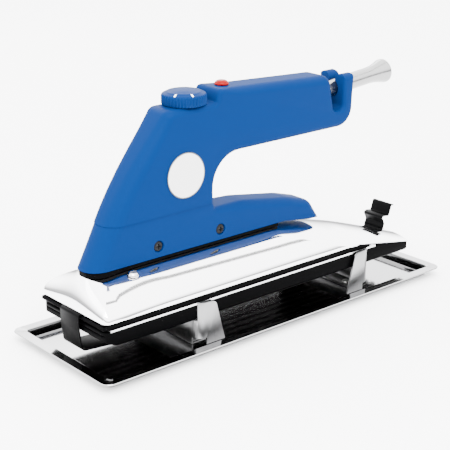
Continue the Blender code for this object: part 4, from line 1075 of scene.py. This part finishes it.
def make_clip():
    surface = ridge_z_at(CLIP_X)
    path = bent_path(
        [
            (CLIP_X - 9.0, surface - 2.6, 0.0),
            (CLIP_X, surface - 4.2, 1.2),
            (CLIP_X + 0.2, surface + 1.0, 2.0),
            (CLIP_X + 1.4, surface + 3.6, 2.4),
            (CLIP_X - 0.2, surface + 7.0, 2.4),
            (CLIP_X - 1.8, surface + 9.8, 0.9),
            (CLIP_X + 1.2, surface + 10.7, 1.1),
            (CLIP_X + 6.4, surface + 9.9, 1.2),
            (CLIP_X + 7.6, surface + 13.8, 4.0),
            (CLIP_X + 9.2, surface + 18.4, 0.8),
            (CLIP_X + 11.8, surface + 17.7, 0.0),
        ],
        10,
    )
    outline = strip(path, 1.0)
    low = CLIP_Y - CLIP_WIDTH / 2.0
    clip = make_object("rear_clip", prism(outline, low, low + CLIP_WIDTH))
    soften(clip, 0.2)


def make_label():
    turn = Matrix.Rotation(math.radians(90), 3, "X")
    place = (-62.0, -GRIP_Y - GAP, 118.0)
    profile = [(15.7, 0.0), (15.7, 0.30), (15.5, 0.38), (14.0, 0.40)]
    made = make_object("side_label", moved(turned(profile, 120), place, turn), 40.0)
    rim = [(15.85, 0.0), (16.5, 0.0), (16.5, 0.25), (16.35, 0.38), (16.0, 0.38), (15.85, 0.25)]
    add_islands(made, moved(turned_tube(rim, 120), place, turn), EDGE_INK)


make_tray()
make_bracket("front_bracket", FRONT_WEB_X, 1)
make_bracket("rear_bracket", REAR_WEB_X, -1)
make_sole()
make_cover()
make_gasket()
make_handle_body()
make_handle_skirt()
make_side_screws()
make_cover_screws()
make_dial()
make_lamp()
make_cord_guard()
make_strap()
make_clip()
make_label()

# Finer pieces ride on their bodies and stand for their CAD nodes; the rest keep the CAD mesh
for node, made in pieces.items():
    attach(made, BODY_OF[node])
    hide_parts(node)

for node, thing in frame["nodes"].items():
    thing.data.materials.clear()
    thing.data.materials.append(LOOKS[SLOT_OF[node]])


# Studio ---------------------------------------------------------------------

WORLD_STRENGTH = 9.0
CAMERA_AZIMUTH = math.radians(-40.53)
CAMERA_ELEVATION = math.radians(19.2)
CAMERA_TARGET = Vector((-0.0009, 0.0162, 0.060))
CAMERA_DISTANCE = 0.906
CAMERA_LENS = 96.0
FLOOR_DROP = 0.0002


def make_floor():
    built = bmesh.new()
    bmesh.ops.create_grid(built, x_segments=1, y_segments=1, size=3000.0)
    floor = raw_object("floor", built, 30.0)
    floor.location.z = -FLOOR_DROP
    floor.data.materials.append(
        finish("floor_paper", (0.90, 0.90, 0.90), 0.75, 0.0, 0.01, 3.0, 400.0, 0.03)
    )


def area_light(name, place, aim, size, power):
    light = bpy.data.lights.new(name, "AREA")
    light.shape = "RECTANGLE"
    light.size, light.size_y = size
    light.energy = power
    made = bpy.data.objects.new(name, light)
    bpy.context.scene.collection.objects.link(made)
    made.location = place
    direction = Vector(place) - Vector(aim)
    made.rotation_mode = "QUATERNION"
    made.rotation_quaternion = direction.to_track_quat("Z", "Y")


def make_flag(name, place, size, grey):
    """A grey card that a curved bright surface reflects as a soft line."""
    built = bmesh.new()
    bmesh.ops.create_grid(built, x_segments=1, y_segments=1, size=500.0)
    card = raw_object(name, built, 30.0)
    card.scale = (size[0], size[1], 1.0)
    card.location = place
    card.rotation_mode = "QUATERNION"
    card.rotation_quaternion = Vector(place).to_track_quat("Z", "Y")
    card.data.materials.append(finish(name, (grey, grey, grey), 0.8, specular=0.1))


def make_world():
    """A white tent that darkens towards its foot, so that bright metal shows its shape."""
    world = bpy.data.worlds.new("studio")
    world.use_nodes = True
    tree = world.node_tree
    tree.nodes["Background"].inputs["Strength"].default_value = WORLD_STRENGTH
    place = tree.nodes.new("ShaderNodeTexCoord")
    parts = tree.nodes.new("ShaderNodeSeparateXYZ")
    ramp = tree.nodes.new("ShaderNodeValToRGB")
    stops = ramp.color_ramp
    stops.elements[0].position, stops.elements[0].color = 0.0, (0.10, 0.10, 0.105, 1.0)
    stops.elements[1].position, stops.elements[1].color = 1.0, (1.0, 1.0, 1.0, 1.0)
    for position, grey in ((0.10, 0.16), (0.20, 0.55), (0.34, 0.95)):
        stops.elements.new(position).color = (grey, grey, grey * 1.01, 1.0)
    tree.links.new(place.outputs["Generated"], parts.inputs["Vector"])
    tree.links.new(parts.outputs["Z"], ramp.inputs["Fac"])
    tree.links.new(ramp.outputs["Color"], tree.nodes["Background"].inputs["Color"])
    bpy.context.scene.world = world


def make_camera():
    back = Vector((
        math.sin(CAMERA_AZIMUTH) * math.cos(CAMERA_ELEVATION),
        -math.cos(CAMERA_AZIMUTH) * math.cos(CAMERA_ELEVATION),
        math.sin(CAMERA_ELEVATION),
    ))
    data = bpy.data.cameras.new("camera")
    data.lens = CAMERA_LENS
    data.sensor_width = 36.0
    data.clip_end = 20.0
    made = bpy.data.objects.new("camera", data)
    bpy.context.scene.collection.objects.link(made)
    made.location = CAMERA_TARGET + back * CAMERA_DISTANCE
    made.rotation_mode = "QUATERNION"
    made.rotation_quaternion = back.to_track_quat("Z", "Y")
    bpy.context.scene.camera = made


make_floor()
make_world()
make_flag("crease_flag", (0.92, -0.36, 1.15), (0.10, 2.2), 0.16)
area_light("key", (-0.5, -0.9, 1.3), (0.0, 0.0, 0.05), (1.1, 0.9), 60.0)
area_light("fill", (-1.2, 0.5, 0.7), (0.0, 0.0, 0.08), (0.9, 0.9), 8.0)
area_light("rim", (0.6, 1.2, 0.9), (0.0, 0.0, 0.08), (1.0, 0.5), 8.0)
make_camera()
